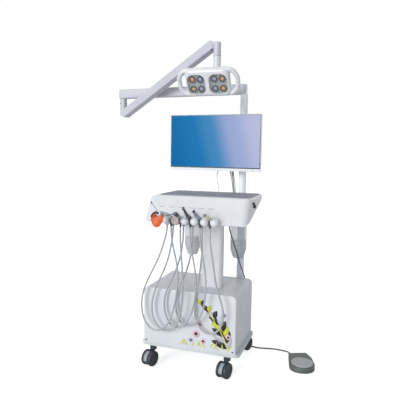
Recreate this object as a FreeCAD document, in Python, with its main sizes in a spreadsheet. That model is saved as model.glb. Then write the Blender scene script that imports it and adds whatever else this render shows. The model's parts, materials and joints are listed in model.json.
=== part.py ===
import FreeCAD, Part
import math
import os
import re
import Sketcher
from FreeCAD import Placement, Rotation, Vector

# Portable dental unit: a wheeled cabinet with a compressor inside, a column that carries a
# delivery tray, and a rear pole that carries a monitor and a lamp on a folding arm.
# Millimetres. +X is the user's right, -Y is the front, +Z is up. The origin is on the floor,
# in the middle between the four caster stems.

SIZES = [
    # cabinet and chassis
    ("cabinet_width", 472), ("cabinet_depth", 342), ("cabinet_top", 396),
    ("cover_wall", 3), ("cover_corner", 24), ("cover_edge", 5),
    ("deck_width", 504), ("deck_inset", 1.5), ("deck_depth", "=cabinet_depth - 2 * deck_inset"),
    ("deck_bottom", 98), ("deck_height", 16),
    ("deck_wall", 3), ("deck_corner", 30),
    # casters
    ("caster_side_inset", 60), ("caster_x", "=deck_width / 2 - caster_side_inset"),
    ("caster_end_inset", 19.5), ("caster_y", "=deck_depth / 2 - caster_end_inset"),
    ("caster_trail", 28), ("wheel_radius", 37.5), ("wheel_width", 18), ("wheel_edge", 5),
    ("wheel_gap", 20), ("axle_radius", 4), ("stem_radius", 8), ("stem_length", 12),
    ("boss_radius", 17), ("hood_radius", 35), ("hood_width", 17), ("neck_radius", 17),
    ("brake_eye_width", 8), ("brake_eye_radius", 5), ("brake_strap_width", 18),
    ("brake_strap_thickness", 3.5), ("brake_strap_low", 5),
    ("brake_pin_offset", 10), ("brake_pin_height", 30.5), ("brake_pin_radius", 2),
    # fits
    ("running_fit", 0.05), ("seat_gap", 0.3), ("pass_gap", 0.5),
    # column
    ("column_width", 105), ("column_depth", 70), ("column_x", 76), ("column_y", -36),
    ("column_wall", 3), ("column_corner", 20), ("column_head_width", 150),
    ("column_head_depth", 100), ("column_head_height", 8),
    # tray
    ("tray_left", -222), ("tray_right", 287), ("tray_top", 853), ("tray_back", 132),
    ("tray_front_top", -146), ("tray_front_low", -215), ("tray_lip_top", 733),
    ("tray_lip_bottom", 729), ("tray_lip_front", -206), ("tray_lip_back", -190),
    ("tray_knee_y", 76), ("tray_knee_z", 812), ("tray_heel_y", 122), ("tray_heel_z", 833),
    ("tray_tail_z", 845), ("tray_wall", 3), ("tray_left_round", 45), ("tray_low_round", 22),
    ("tray_right_round", 12), ("tray_front_round", 34), ("mat_left", -173),
    ("mat_right", 277), ("mat_front", -141), ("mat_back", 127), ("mat_thickness", 2.5),
    ("mat_corner", 26),
    ("groove_first_x", -140), ("groove_pitch", 49.4), ("groove_length", 26),
    ("groove_width", 2.4), ("groove_depth", 1), ("groove_z", 799),
    # instrument holder
    ("finger_first_x", -96), ("finger_pitch", 47.4), ("finger_radius", 19),
    ("finger_length", 41), ("finger_tilt", 20), ("finger_root_y", -210.4),
    ("finger_root_z", 737.3), ("finger_round", 8), ("rail_thickness", 4), ("rail_height", 30),
    # glands and tank caps under the tray
    ("gland_y", -184), ("gland_radius", 7), ("gland_bottom", 712), ("gland_top", 748),
    ("cap_radius", 21), ("cap_bottom", 770), ("cap_top", 832), ("tank_y", 85),
    ("tank_left_x", -73), ("tank_right_x", 176), ("tank_radius", 42), ("tank_bottom", 522),
    ("tank_shoulder", 728), ("tank_neck_bottom", 758), ("tank_neck_radius", 14),
    ("tank_neck_top", 800), ("tank_wall", 1.5), ("tank_foot_radius", 26),
    ("tank_taper", 52),
    # side knobs
    ("air_knob_y", -101), ("air_knob_z", 827), ("air_knob_radius", 5.5),
    ("water_knob_y", -78), ("water_knob_z", 811), ("water_knob_radius", 9),
    ("knob_height", 9), ("knob_stem_radius", 3),
    # rear pole and its clamps
    ("pole_x", 162), ("clamp_radius", 25), ("pole_y", "=cabinet_depth / 2 + clamp_radius"),
    ("pole_radius", 20), ("pole_wall", 2.5), ("pole_bottom", 150), ("pole_top", 1364),
    ("spigot_radius", 16), ("spigot_length", 46), ("clamp_height", 30),
    ("clamp_low_z", 147), ("clamp_high_z", 340),
    # monitor and its bracket
    ("monitor_x", 31), ("monitor_front", 106), ("monitor_bottom", 964.5),
    ("monitor_width", 490), ("monitor_height", 291), ("monitor_edge_depth", 20),
    ("monitor_bulge_width", 300), ("monitor_bulge_height", 180), ("monitor_bulge_depth", 20),
    ("monitor_corner", 6), ("panel_width", 484), ("panel_height", 273),
    ("panel_thickness", 6), ("panel_chin", 13), ("panel_pocket", 14),
    ("monitor_pivot_y", 168), ("bracket_height", 50), ("bracket_radius", 27),
    ("bracket_arm_height", 34), ("bracket_arm_depth", 12), ("tilt_eye_radius", 11),
    ("tilt_eye_width", 40), ("tilt_pin_radius", 5), ("lug_thickness", 6),
    # lamp arms
    ("arm_angle", -5), ("arm_width", 45), ("arm_height", 51), ("arm_wall", 2.5),
    ("arm_overhang", 22), ("arm_nose", 18), ("arm_reach", 740), ("arm_round", 6),
    ("socket_radius", 21), ("elbow_angle", -21), ("elbow_length", 36), ("elbow_width", 30),
    ("elbow_round", 8), ("elbow_height", 96), ("elbow_base", 3), ("elbow_stem_radius", 14),
    ("elbow_stem_length", 40), ("elbow_pivot_drop", 84), ("elbow_pivot_reach", 30),
    ("elbow_pivot_side", 4), ("elbow_eye_width", 26), ("elbow_eye_radius", 12),
    ("elbow_pin_radius", 6), ("spring_width", 44), ("spring_height", 46),
    ("spring_length", 692.6), ("spring_angle", 25.49), ("spring_tail", 18),
    ("spring_nose", 18), ("spring_round", 12), ("spring_lip", 8), ("spring_heel", 11),
    ("spring_brow", 8), ("spring_chin", 4), ("knuckle_radius", 18.5),
    ("knuckle_offset", 34), ("knuckle_below", 53), ("knuckle_above", 15),
    ("knuckle_edge", 3), ("tongue_width", 20), ("tongue_height", 28),
    ("tongue_pin_radius", 5), ("lamp_stem_radius", 12), ("lamp_stem_length", 40),
    ("lamp_neck_radius", 18.5), ("lamp_neck_length", 136), ("yoke_width", 26),
    ("yoke_height", 30), ("yoke_reach", 100), ("yoke_drop", 120), ("yoke_pin_radius", 6),
    ("yoke_pin_length", 36),
    # lamp head
    ("head_width", 304), ("head_height", 136), ("head_depth", 45), ("head_tilt", 30),
    ("head_corner", 58), ("head_edge", 10), ("head_pivot_depth", 18),
    ("slot_width", 24), ("slot_height", 78), ("slot_x", 129), ("slot_round", 11),
    ("window_width", 88), ("window_height", 98), ("window_x", 53), ("window_drop", 6),
    ("window_round", 30), ("lens_thickness", 3), ("lens_gap", 0.4), ("board_depth", 24),
    ("board_thickness", 2), ("led_radius", 13), ("led_height", 7), ("led_x", 19),
    ("led_z", 23), ("cavity_wall", 4),
    # foot control
    ("foot_x", 523.4), ("foot_y", 50), ("foot_angle", 23.3), ("foot_height", 29),
    ("foot_heel_y", 119.5), ("foot_heel_left", -37), ("foot_heel_right", 56),
    ("foot_side_x", 66.4), ("foot_side_y", 53), ("foot_toe_right_x", 53),
    ("foot_toe_right_y", -69.5), ("foot_toe_left_x", -76.5), ("foot_toe_left_y", -48),
    ("foot_toe_round", 56), ("foot_heel_round", 8), ("foot_edge", 3), ("foot_wall", 3),
    ("pedal_radius", 53.5), ("pedal_gap", 1.5), ("pedal_rise", 5), ("pedal_thickness", 9),
    ("pedal_travel", 6), ("pedal_post_radius", 12), ("pedal_post_length", 15),
    # inside the cabinet
    ("pump_x", -115), ("pump_y", -20), ("pump_radius", 55), ("pump_length", 170),
    ("pump_axis_z", 205), ("pump_head_size", 70), ("pump_head_height", 45),
    ("pump_foot_size", 26), ("vessel_x", 95), ("vessel_y", 100), ("vessel_radius", 52),
    ("vessel_length", 210), ("vessel_axis_z", 178), ("vessel_round", 22),
    ("vessel_leg_thickness", 4), ("supply_x", 185), ("supply_y", -90), ("supply_width", 70),
    ("supply_depth", 110), ("supply_height", 80), ("valve_x", 75),
    ("valve_inset", 44.5), ("valve_y", "=valve_inset - deck_depth / 2"),
    ("valve_width", 90), ("valve_depth", 36), ("valve_height", 50), ("valve_count", 3),
    ("valve_coil_radius", 11), ("valve_coil_height", 24),
    # rear panel fittings
    ("inlet_x", -150), ("rear_z", 190), ("inlet_width", 48), ("inlet_height", 28),
    ("inlet_depth", 24), ("inlet_lip", 2), ("socket_width", 26), ("socket_height", 17),
    ("socket_depth", 18), ("switch_x", -95), ("switch_width", 14), ("switch_height", 22),
    ("switch_depth", 10), ("switch_angle", 10), ("drain_x", -30), ("barb_radius", 4),
    ("barb_bore", 2.5), ("barb_length", 24), ("barb_collar_radius", 9),
    ("barb_collar_length", 6), ("vent_first_z", 250), ("vent_pitch", 14), ("vent_count", 7),
    ("vent_width", 150), ("vent_height", 5), ("vent_x", -60),
    # instruments
    ("tail_offset", 14), ("tail_radius", 9), ("tail_length", 46), ("boot_radius", 4),
    ("boot_bottom", 716), ("lamp_grip_radius", 12), ("lamp_grip_length", 96),
    ("lamp_grip_tilt", -8), ("lamp_grip_angle", -5), ("light_guide_radius", 2.6),
    ("light_guide_length", 66), ("light_guide_tilt", 50), ("light_guide_angle", -62),
    ("shield_width", 56), ("shield_height", 72), ("shield_thickness", 2.5),
    ("shield_drop", 25), ("shield_side", 8), ("syringe_grip_radius", 9.5), ("syringe_grip_length", 44),
    ("nozzle_radius", 1.7), ("nozzle_length", 42), ("nozzle_tilt", -24),
    ("nozzle_angle", -52), ("push_radius", 4), ("push_height", 6), ("push_travel", 2),
    ("turbine_radius", 7.5), ("turbine_length", 74), ("turbine_tilt", 16),
    ("turbine_head_radius", 5.5), ("turbine_head_height", 13), ("contra_radius", 9.5),
    ("contra_length", 62), ("contra_tilt", 10), ("contra_head_radius", 6),
    ("contra_head_height", 18), ("scaler_radius", 8.5), ("scaler_length", 65),
    ("scaler_tip_radius", 1.5), ("scaler_tip_length", 22), ("scaler_tip_tilt", -40),
    # cords and their glands
    ("hose_radius", 4.3), ("foot_cord_radius", 3.6), ("tray_cord_radius", 3),
    ("video_cord_radius", 3), ("loom_radius", 8.6), ("cord_gland_radius", 5),
    ("loom_gland_radius", 11), ("cord_gland_length", 12), ("tail_gland_y", 93),
    ("tail_gland_bottom", 806), ("tail_gland_top", 832), ("loom_gland_x", 113),
    ("video_gland_x", 46),
    ("tray_gland_x", 182), ("tray_gland_y", -125), ("tray_gland_bottom", 735),
    ("tray_gland_top", 766), ("rear_gland_x", 212), ("rear_gland_z", 276),
    ("deck_gland_x", 84), ("deck_gland_y", 148), ("deck_gland_bottom", 92),
    ("foot_gland_x", -22), ("foot_gland_z", 14),
]

FINGER_COUNT = 6
INSTRUMENTS = ["curing_light", "syringe", "turbine_handpiece", "contra_angle", "scaler"]

# The five instrument hoses: each list runs from its gland under the tray, down the back leg,
# round the bottom of the loop and up the front leg to the boot of its instrument.
HOSE_ROUTES = [
    [(-109, -185, 680), (-119, -195, 635), (-135, -198, 581), (-158, -200, 527),
     (-188, -202, 467), (-217, -203, 406), (-232, -204, 346), (-231, -206, 288),
     (-213, -213, 238), (-177, -217, 203), (-131, -220, 199), (-89, -220, 233),
     (-66, -219, 289), (-52, -218, 345), (-41, -220, 403), (-36, -222, 461),
     (-38, -224, 521), (-50, -226, 579), (-64, -227, 636), (-71, -225, 685)],
    [(-78, -185, 672), (-85, -191, 618), (-96, -194, 557), (-117, -196, 499),
     (-144, -198, 443), (-166, -199, 387), (-180, -200, 332), (-179, -202, 278),
     (-158, -205, 231), (-122, -208, 202), (-74, -213, 204), (-38, -215.5, 246),
     (-22, -217, 306), (-15, -219, 365), (-12, -221, 426), (-13, -223, 486),
     (-16, -225, 545), (-21, -227, 604), (-25, -227, 659)],
    [(-25, -184, 675), (-28, -186, 630), (-35, -188, 576), (-51, -189, 522),
     (-73, -190, 468), (-98, -191, 417), (-116, -192, 364), (-118, -194, 310),
     (-103, -197, 259), (-70, -202.5, 224), (-24, -208, 227), (13, -212, 264),
     (35, -216, 317), (48, -219, 372), (54, -221, 433), (52, -223, 493),
     (43, -225, 551), (31, -227, 609), (23, -226, 662)],
    [(21, -184, 678), (18, -183, 633), (13, -184, 580), (2, -184, 528),
     (-16, -184, 476), (-41, -185, 424), (-58, -186, 369), (-60, -189, 316),
     (-45, -194, 265), (-15, -198.5, 237), (27, -205, 240), (64, -211, 274),
     (88, -216, 324), (98, -219, 378), (102, -221, 438), (100, -223, 497),
     (92, -225, 556), (79, -227, 613), (71, -226, 665)],
    [(67, -184, 656), (68, -183, 600), (64, -184, 540), (57, -184, 477),
     (46, -184, 416), (37, -184, 357), (36, -186, 301), (52, -190, 250),
     (82, -195, 216), (124, -201, 208), (165, -207, 238), (186, -212, 290),
     (185, -216, 343), (170, -219, 394), (153, -221, 447), (143, -223, 501),
     (136, -225, 559), (126, -227, 617), (118, -226, 666)],
]
GLAND_XS = [-108, -77, -25, 21, 66]
CORD_GLANDS = [
    ("loom_gland", "loom_gland_x", "tail_gland_y", "loom_gland_radius", "tail_gland_bottom",
     "tail_gland_top"),
    ("video_gland", "video_gland_x", "tail_gland_y", "cord_gland_radius",
     "tail_gland_bottom", "tail_gland_top"),
    ("tray_gland", "tray_gland_x", "tray_gland_y", "cord_gland_radius",
     "tray_gland_bottom", "tray_gland_top")]

# Foot control cord: from a gland under the deck, over the floor, to the foot control's heel.
FOOT_CORD = [(84, 148, 92), (84, 148, 64), (92, 160, 34), (108, 184, 12), (128, 206, 4.6),
             (155, 220, 3.9), (186, 225, 3.9), (217, 221, 3.9), (246, 211, 3.9),
             (274, 208, 3.9), (303, 213, 3.9), (331, 220, 3.9), (361, 224, 3.9),
             (391, 221, 3.9), (419, 210, 7), (440.9, 185.9, 13.6), (452, 160.2, 14)]

# Control cord: pulled nearly straight from the tray's underside to the back of the cabinet.
TRAY_CORD = [(182, -125, 735), (182, -125, 706), (183, -93, 672), (184, -40, 620),
             (187, 20, 558), (188, 74, 495), (190, 140, 438), (191, 188, 390),
             (198, 212, 352), (208, 230, 325), (212, 230, 295.5), (212, 210.6, 276),
             (212, 183, 276)]

# Video cord and wrapped cable loom: both leave the pole behind the monitor, hang past the
# back of the tray and turn up into its underside.
VIDEO_CORD = [(135, 206, 1030), (104, 217, 1027), (72, 216, 1012), (40, 208, 985),
              (20, 199, 950), (23, 191, 914), (33, 185, 882), (40, 180, 848),
              (43, 172, 815), (45, 156, 778), (46, 124, 762), (46, 93, 774), (46, 93, 806)]
LOOM = [(132, 196, 1058), (111, 199, 1039), (99, 203, 1006), (98, 206, 974),
        (103, 208, 936), (110, 208, 898), (115, 208, 852), (117, 208, 758.4),
        (116, 174.3, 724.7), (114, 126.7, 724.7), (113, 93, 758.4), (113, 93, 806)]

document = FreeCAD.newDocument("portable_dental_unit")
sheet = document.addObject("Spreadsheet::Sheet", "sizes")
for row, (alias, number) in enumerate(SIZES, start=1):
    sheet.set("A%d" % row, alias)
    sheet.set("B%d" % row, str(number))
    sheet.setAlias("B%d" % row, alias)
document.recompute()
ALIASES = {alias for alias, number in SIZES}
subparts = []


def named(formula):
    """The formula with each size's name pointed at its cell in the sheet."""
    return re.sub(r"[a-z_]+", lambda word: "sizes." + word.group() if word.group() in ALIASES
                  else word.group(), str(formula))


def value(formula):
    return float(sheet.evalExpression(named(formula)))


def vector(x, y, z):
    return Vector(value(x), value(y), value(z))


def keep(piece, label):
    """Registers a finished piece under the name of its file."""
    piece.Label = label
    subparts.append((label, piece))
    return piece


def bind(piece, **formulas):
    for name, formula in formulas.items():
        piece.setExpression(name, named(formula))


def move(piece, x="0", y="0", z="0"):
    for axis, formula in (("x", x), ("y", y), ("z", z)):
        piece.setExpression("Placement.Base." + axis, named(formula))


# ---- primitives and booleans

def box(name, length, width, height, x="0", y="0", z="0"):
    """A box from its low corner."""
    piece = document.addObject("Part::Box", name)
    bind(piece, Length=length, Width=width, Height=height)
    move(piece, x, y, z)
    return piece


def block(name, length, width, height, x="0", y="0", z="0"):
    """A box centred on x and y, standing on z."""
    return box(name, length, width, height, "%s - (%s) / 2" % (x, length),
               "%s - (%s) / 2" % (y, width), z)


TURNS = {"z": Rotation(), "x": Rotation(Vector(0, 1, 0), 90), "y": Rotation(Vector(1, 0, 0), -90)}


def cylinder(name, radius, height, x="0", y="0", z="0", axis="z"):
    """A cylinder from the centre of its low end, along +Z, +X or +Y."""
    piece = document.addObject("Part::Cylinder", name)
    bind(piece, Radius=radius, Height=height)
    piece.Placement = Placement(Vector(), TURNS[axis])
    move(piece, x, y, z)
    return piece


def fuse(name, *pieces):
    union = document.addObject("Part::MultiFuse", name)
    union.Shapes = list(pieces)
    union.Refine = True
    return union


def group(name, *pieces):
    compound = document.addObject("Part::Compound", name)
    compound.Links = list(pieces)
    return compound


def cut(name, base, *tools):
    tool = tools[0] if len(tools) == 1 else group(name + "_tools", *tools)
    rest = document.addObject("Part::Cut", name)
    rest.Base = base
    rest.Tool = tool
    return rest


def common(name, first, second):
    shared = document.addObject("Part::Common", name)
    shared.Base = first
    shared.Tool = second
    return shared


def placed(piece, place):
    """Moves a piece, with the place it already has, into the given frame."""
    piece.recompute()
    for axis in ("x", "y", "z"):
        piece.setExpression("Placement.Base." + axis, None)
    piece.Placement = place.multiply(piece.Placement)
    return piece


# ---- bodies

def new_body(name):
    return document.addObject("PartDesign::Body", name)


def sketch_on(body, role, offset="0"):
    sketch = body.newObject("Sketcher::SketchObject", body.Name + "_sketch")
    plane = next(item for item in body.Origin.OriginFeatures if item.Role == role)
    sketch.AttachmentSupport = (plane, [""])
    sketch.MapMode = "FlatFace"
    sketch.setExpression("AttachmentOffset.Base.z", named(offset))
    return sketch


def draw_outline(sketch, corners):
    """A closed outline of straight edges, each corner held by two formulas."""
    points = [Vector(value(u), value(v), 0) for u, v in corners]
    first = sketch.GeometryCount
    count = len(points)
    for index in range(count):
        sketch.addGeometry(Part.LineSegment(points[index], points[(index + 1) % count]), False)
    for index, (u, v) in enumerate(corners):
        edge = first + index
        after = first + (index + 1) % count
        sketch.addConstraint(Sketcher.Constraint("Coincident", edge, 2, after, 1))
        for kind, formula, place in (("DistanceX", u, points[index].x),
                                     ("DistanceY", v, points[index].y)):
            rule = sketch.addConstraint(Sketcher.Constraint(kind, -1, 1, edge, 1, place))
            sketch.setExpression("Constraints[%d]" % rule, named(formula))


def draw_circle(sketch, u, v, radius):
    ring = Part.Circle(Vector(value(u), value(v), 0), Vector(0, 0, 1), value(radius))
    index = sketch.addGeometry(ring, False)
    for kind, formula in (("DistanceX", u), ("DistanceY", v)):
        rule = sketch.addConstraint(
            Sketcher.Constraint(kind, -1, 1, index, 3, value(formula)))
        sketch.setExpression("Constraints[%d]" % rule, named(formula))
    rule = sketch.addConstraint(Sketcher.Constraint("Radius", index, value(radius)))
    sketch.setExpression("Constraints[%d]" % rule, named(radius))


def rectangle(width, height, u="0", v="0"):
    left, right = "%s - (%s) / 2" % (u, width), "%s + (%s) / 2" % (u, width)
    low, high = "%s - (%s) / 2" % (v, height), "%s + (%s) / 2" % (v, height)
    return [(left, low), (right, low), (right, high), (left, high)]


def pad(body, sketch, length, side="One side"):
    feature = body.newObject("PartDesign::Pad", body.Name + "_pad")
    feature.Profile = sketch
    feature.SideType = side
    bind(feature, Length=length)
    document.recompute()
    return feature


def pocket(body, sketch, length, reverse=False, side="One side"):
    """A pocket that must take something away."""
    before = body.Shape.Volume
    feature = body.newObject("PartDesign::Pocket", body.Name + "_pocket")
    feature.Profile = sketch
    feature.SideType = side
    feature.Reversed = reverse
    bind(feature, Length=length)
    document.recompute()
    if not body.Shape.Volume < before:
        raise RuntimeError("%s: a pocket cuts nothing" % body.Name)
    return feature


def turn(body, corners):
    """A solid of revolution about the body's own Z axis, from (radius, height) corners."""
    sketch = sketch_on(body, "XZ_Plane")
    draw_outline(sketch, corners)
    feature = body.newObject("PartDesign::Revolution", body.Name + "_turn")
    feature.Profile = sketch
    feature.ReferenceAxis = (sketch, ["V_Axis"])
    feature.Angle = 360
    document.recompute()
    return feature


def soften(body, radius, chosen):
    """Rounds the edges of the body that the test picks out."""
    base = body.Tip
    names = ["Edge%d" % (index + 1) for index, edge in enumerate(base.Shape.Edges)
             if chosen(edge)]
    if not names:
        raise RuntimeError("%s: no edge to round" % body.Name)
    feature = body.newObject("PartDesign::Fillet", body.Name + "_round")
    feature.Base = (base, names)
    bind(feature, Radius=radius)
    document.recompute()
    return feature


def runs_along(edge, direction):
    straight = edge.Curve.TypeId == "Part::GeomLine"
    return straight and abs(abs(edge.tangentAt(edge.FirstParameter).dot(direction)) - 1) < 1e-6


def upright(edge):
    return runs_along(edge, Vector(0, 0, 1))


def level_with(height):
    """A test for edges that lie at one height."""
    return lambda edge: all(abs(point.Z - height) < 1e-4 for point in edge.Vertexes)


def rounded_slab(name, width, depth, height, corner, x="0", y="0", z="0"):
    """A slab with its four upright edges rounded."""
    body = new_body(name)
    sketch = sketch_on(body, "XY_Plane", z)
    draw_outline(sketch, rectangle(width, depth, x, y))
    pad(body, sketch, height)
    soften(body, corner, upright)
    return body


def turned(name, corners):
    body = new_body(name)
    turn(body, corners)
    return body


# ---- chassis and cabinet

def make_deck():
    """The folded steel deck, open below, with a blind boss for each caster stem."""
    body = rounded_slab("deck", "deck_width", "deck_depth", "deck_height", "deck_corner",
                        z="deck_bottom")
    inner = sketch_on(body, "XY_Plane", "deck_bottom")
    draw_outline(inner, rectangle("deck_width - deck_corner * 2", "deck_depth - deck_wall * 2"))
    pocket(body, inner, "deck_height - deck_wall", reverse=True)
    bosses = sketch_on(body, "XY_Plane", "deck_bottom")
    for side in ("-", ""):
        for end in ("-", ""):
            draw_circle(bosses, side + "caster_x", end + "caster_y", "boss_radius")
    pad(body, bosses, "deck_height - deck_wall / 2")
    bores = sketch_on(body, "XY_Plane", "deck_bottom")
    for side in ("-", ""):
        for end in ("-", ""):
            draw_circle(bores, side + "caster_x", end + "caster_y", "stem_radius + running_fit")
    pocket(body, bores, "stem_length + seat_gap", reverse=True)
    return keep(body, "deck")


def cover_block(name, grow):
    """The cover as a solid: an arched front outline drawn back through its depth."""
    inset = "cover_wall * %s" % grow
    low, high = "deck_bottom + deck_height", "cabinet_top - " + inset
    left, right = "-cabinet_width / 2 + " + inset, "cabinet_width / 2 - " + inset
    body = new_body(name)
    sketch = sketch_on(body, "XZ_Plane")
    draw_outline(sketch, [(left, low), (right, low), (right, high), (left, high)])
    pad(body, sketch, "cabinet_depth - 2 * " + inset, "Symmetric")
    floor = value(low)
    face = value("cabinet_depth / 2 - " + inset)
    soften(body, "cover_corner - " + inset, lambda edge: (
        runs_along(edge, Vector(0, 1, 0)) and edge.CenterOfMass.z > floor + 1))
    soften(body, "cover_edge - " + inset, lambda edge: (
        all(abs(abs(point.Y) - face) < 1e-4 for point in edge.Vertexes)
        and edge.CenterOfMass.z > floor + 1 and not runs_along(edge, Vector(0, 1, 0))))
    return body


def make_cover():
    """The white cabinet cover: a shell that is open below and stands on the deck."""
    body = cover_block("cover", 0)
    hollow = cover_block("cover_hollow", 1)
    column_hole = rounded_slab("cover_column_hole", "column_width + pass_gap * 2",
                               "column_depth + pass_gap * 2", "cabinet_top",
                               "column_corner + pass_gap", "column_x", "column_y")
    wall = "cabinet_depth / 2 - cover_wall * 2"
    inlet_hole = box("cover_inlet_hole", "inlet_width + pass_gap", "cover_wall * 4",
                     "inlet_height + pass_gap", "inlet_x - (inlet_width + pass_gap) / 2", wall,
                     "rear_z - (inlet_height + pass_gap) / 2")
    switch_hole = box("cover_switch_hole", "switch_width + pass_gap * 2", "cover_wall * 4",
                      "switch_height + pass_gap * 8",
                      "switch_x - switch_width / 2 - pass_gap", wall,
                      "rear_z - switch_height / 2 - pass_gap * 4")
    barb_hole = cylinder("cover_barb_hole", "barb_collar_radius / 2 + running_fit",
                         "cover_wall * 4", "drain_x", wall, "rear_z", axis="y")
    vents = []
    for index in range(int(value("vent_count"))):
        vents.append(box("cover_vent", "vent_width", "cover_wall * 4", "vent_height",
                         "vent_x - vent_width / 2", wall,
                         "vent_first_z + vent_pitch * %d" % index))
    cover = cut("cover_open", body, hollow, column_hole, inlet_hole, switch_hole, barb_hole,
                *vents)
    return keep(cover, "cabinet_cover")


# ---- inside the cabinet

def make_pump():
    """The oil-free compressor: a motor barrel between two pump heads, on four feet."""
    floor = "deck_bottom + deck_height"
    barrel = cylinder("pump_barrel", "pump_radius", "pump_length", "pump_x",
                      "pump_y - pump_length / 2", "pump_axis_z", axis="y")
    pieces = [barrel]
    for end in ("-", "+"):
        centre = "pump_y %s (pump_length / 2 - pump_head_size / 2)" % end
        pieces.append(block("pump_head", "pump_head_size", "pump_head_size",
                            "pump_radius + pump_head_height", "pump_x", centre,
                            "pump_axis_z"))
        for side in ("-", "+"):
            pieces.append(block("pump_foot", "pump_foot_size", "pump_foot_size",
                                "pump_axis_z - (%s)" % floor,
                                "pump_x %s pump_radius * 0.7" % side, centre, floor))
    return keep(fuse("pump", *pieces), "compressor")


def make_vessel():
    """The compressed-air tank, lying on two saddle legs."""
    floor = "deck_bottom + deck_height"
    shell = turned("vessel_shell", [
        ("0", "0"), ("vessel_radius - vessel_round", "0"), ("vessel_radius", "vessel_round"),
        ("vessel_radius", "vessel_length - vessel_round"),
        ("vessel_radius - vessel_round", "vessel_length"), ("0", "vessel_length")])
    start = vector("vessel_x - vessel_length / 2", "vessel_y", "vessel_axis_z")
    placed(shell, Placement(start, TURNS["x"]))
    legs = []
    for side in ("-", "+"):
        legs.append(block("vessel_leg", "vessel_leg_thickness", "vessel_radius * 1.4",
                          "vessel_axis_z - (%s)" % floor,
                          "vessel_x %s vessel_length / 3" % side, "vessel_y", floor))
    return keep(fuse("vessel", shell, *legs), "air_tank")


def make_supply():
    """The mains power supply in its box."""
    piece = block("supply", "supply_width", "supply_depth", "supply_height", "supply_x",
                  "supply_y", "deck_bottom + deck_height")
    return keep(piece, "power_supply")


def make_valves():
    """The valve block with a solenoid coil for each circuit."""
    floor = "deck_bottom + deck_height"
    manifold = block("manifold", "valve_width", "valve_depth", "valve_height", "valve_x",
                     "valve_y", floor)
    coils = []
    count = int(value("valve_count"))
    for index in range(count):
        offset = "valve_width * (%d - (valve_count - 1) / 2) / valve_count" % index
        coils.append(cylinder("valve_coil", "valve_coil_radius", "valve_coil_height * 2",
                              "valve_x + " + offset, "valve_y",
                              "%s + valve_height - valve_coil_height" % floor))
    return keep(fuse("valves", manifold, *coils), "valve_block")


# ---- rear panel

def make_inlet():
    """The mains inlet: a shrouded socket set in the rear wall."""
    rear = "cabinet_depth / 2"
    shell = box("inlet_shell", "inlet_width", "inlet_depth", "inlet_height",
                "inlet_x - inlet_width / 2", "%s + inlet_lip - inlet_depth" % rear,
                "rear_z - inlet_height / 2")
    mouth = box("inlet_mouth", "socket_width", "socket_depth", "socket_height",
                "inlet_x - socket_width / 2", "%s + inlet_lip - socket_depth" % rear,
                "rear_z - socket_height / 2")
    pins = []
    for index in (-1, 0, 1):
        pins.append(box("inlet_pin", "socket_width / 13", "socket_depth * 0.9",
                        "socket_height / 4",
                        "inlet_x + socket_width * %d / 4 - socket_width / 26" % index,
                        "%s + inlet_lip - socket_depth * 1.1" % rear,
                        "rear_z - socket_height / 8 + socket_height * %d / 6"
                        % (1 - abs(index))))
    return keep(fuse("inlet", cut("inlet_open", shell, mouth), *pins), "power_inlet")


def make_switch():
    """The rocker of the mains switch, which rocks about its middle."""
    body = new_body("switch_rocker")
    sketch = sketch_on(body, "YZ_Plane")
    draw_outline(sketch, [
        ("-switch_depth", "-switch_height / 2"), ("0", "-switch_height / 2"),
        ("-switch_depth / 5", "0"), ("0", "switch_height / 2"),
        ("-switch_depth", "switch_height / 2")])
    pad(body, sketch, "switch_width", "Symmetric")
    body.Placement = Placement(
        vector("switch_x", "cabinet_depth / 2 + switch_depth / 3", "rear_z"),
        Rotation(Vector(1, 0, 0), value("switch_angle")))
    return keep(body, "power_switch")


def make_barb():
    """The hose barb for an outside air supply."""
    barb = turned("barb", [
        ("barb_bore", "-barb_collar_length * 2"), ("barb_collar_radius / 2",
                                                   "-barb_collar_length * 2"),
        ("barb_collar_radius / 2", "0"), ("barb_collar_radius", "0"),
        ("barb_collar_radius", "barb_collar_length"), ("barb_radius", "barb_collar_length"),
        ("barb_radius", "barb_collar_length + barb_length"),
        ("barb_bore", "barb_collar_length + barb_length")])
    barb.Placement = Placement(vector("drain_x", "cabinet_depth / 2", "rear_z"), TURNS["y"])
    return keep(barb, "air_inlet_barb")


# ---- casters

CASTERS = {"front_left": ("-", "-", -104), "front_right": ("", "-", -104),
           "rear_left": ("-", "", 80), "rear_right": ("", "", 68)}


def caster_place(name):
    """The stem's point on the floor, turned so that the wheels trail along local +X."""
    side, end, heading = CASTERS[name]
    return Placement(vector(side + "caster_x", end + "caster_y", "0"),
                     Rotation(Vector(0, 0, 1), heading))


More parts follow.
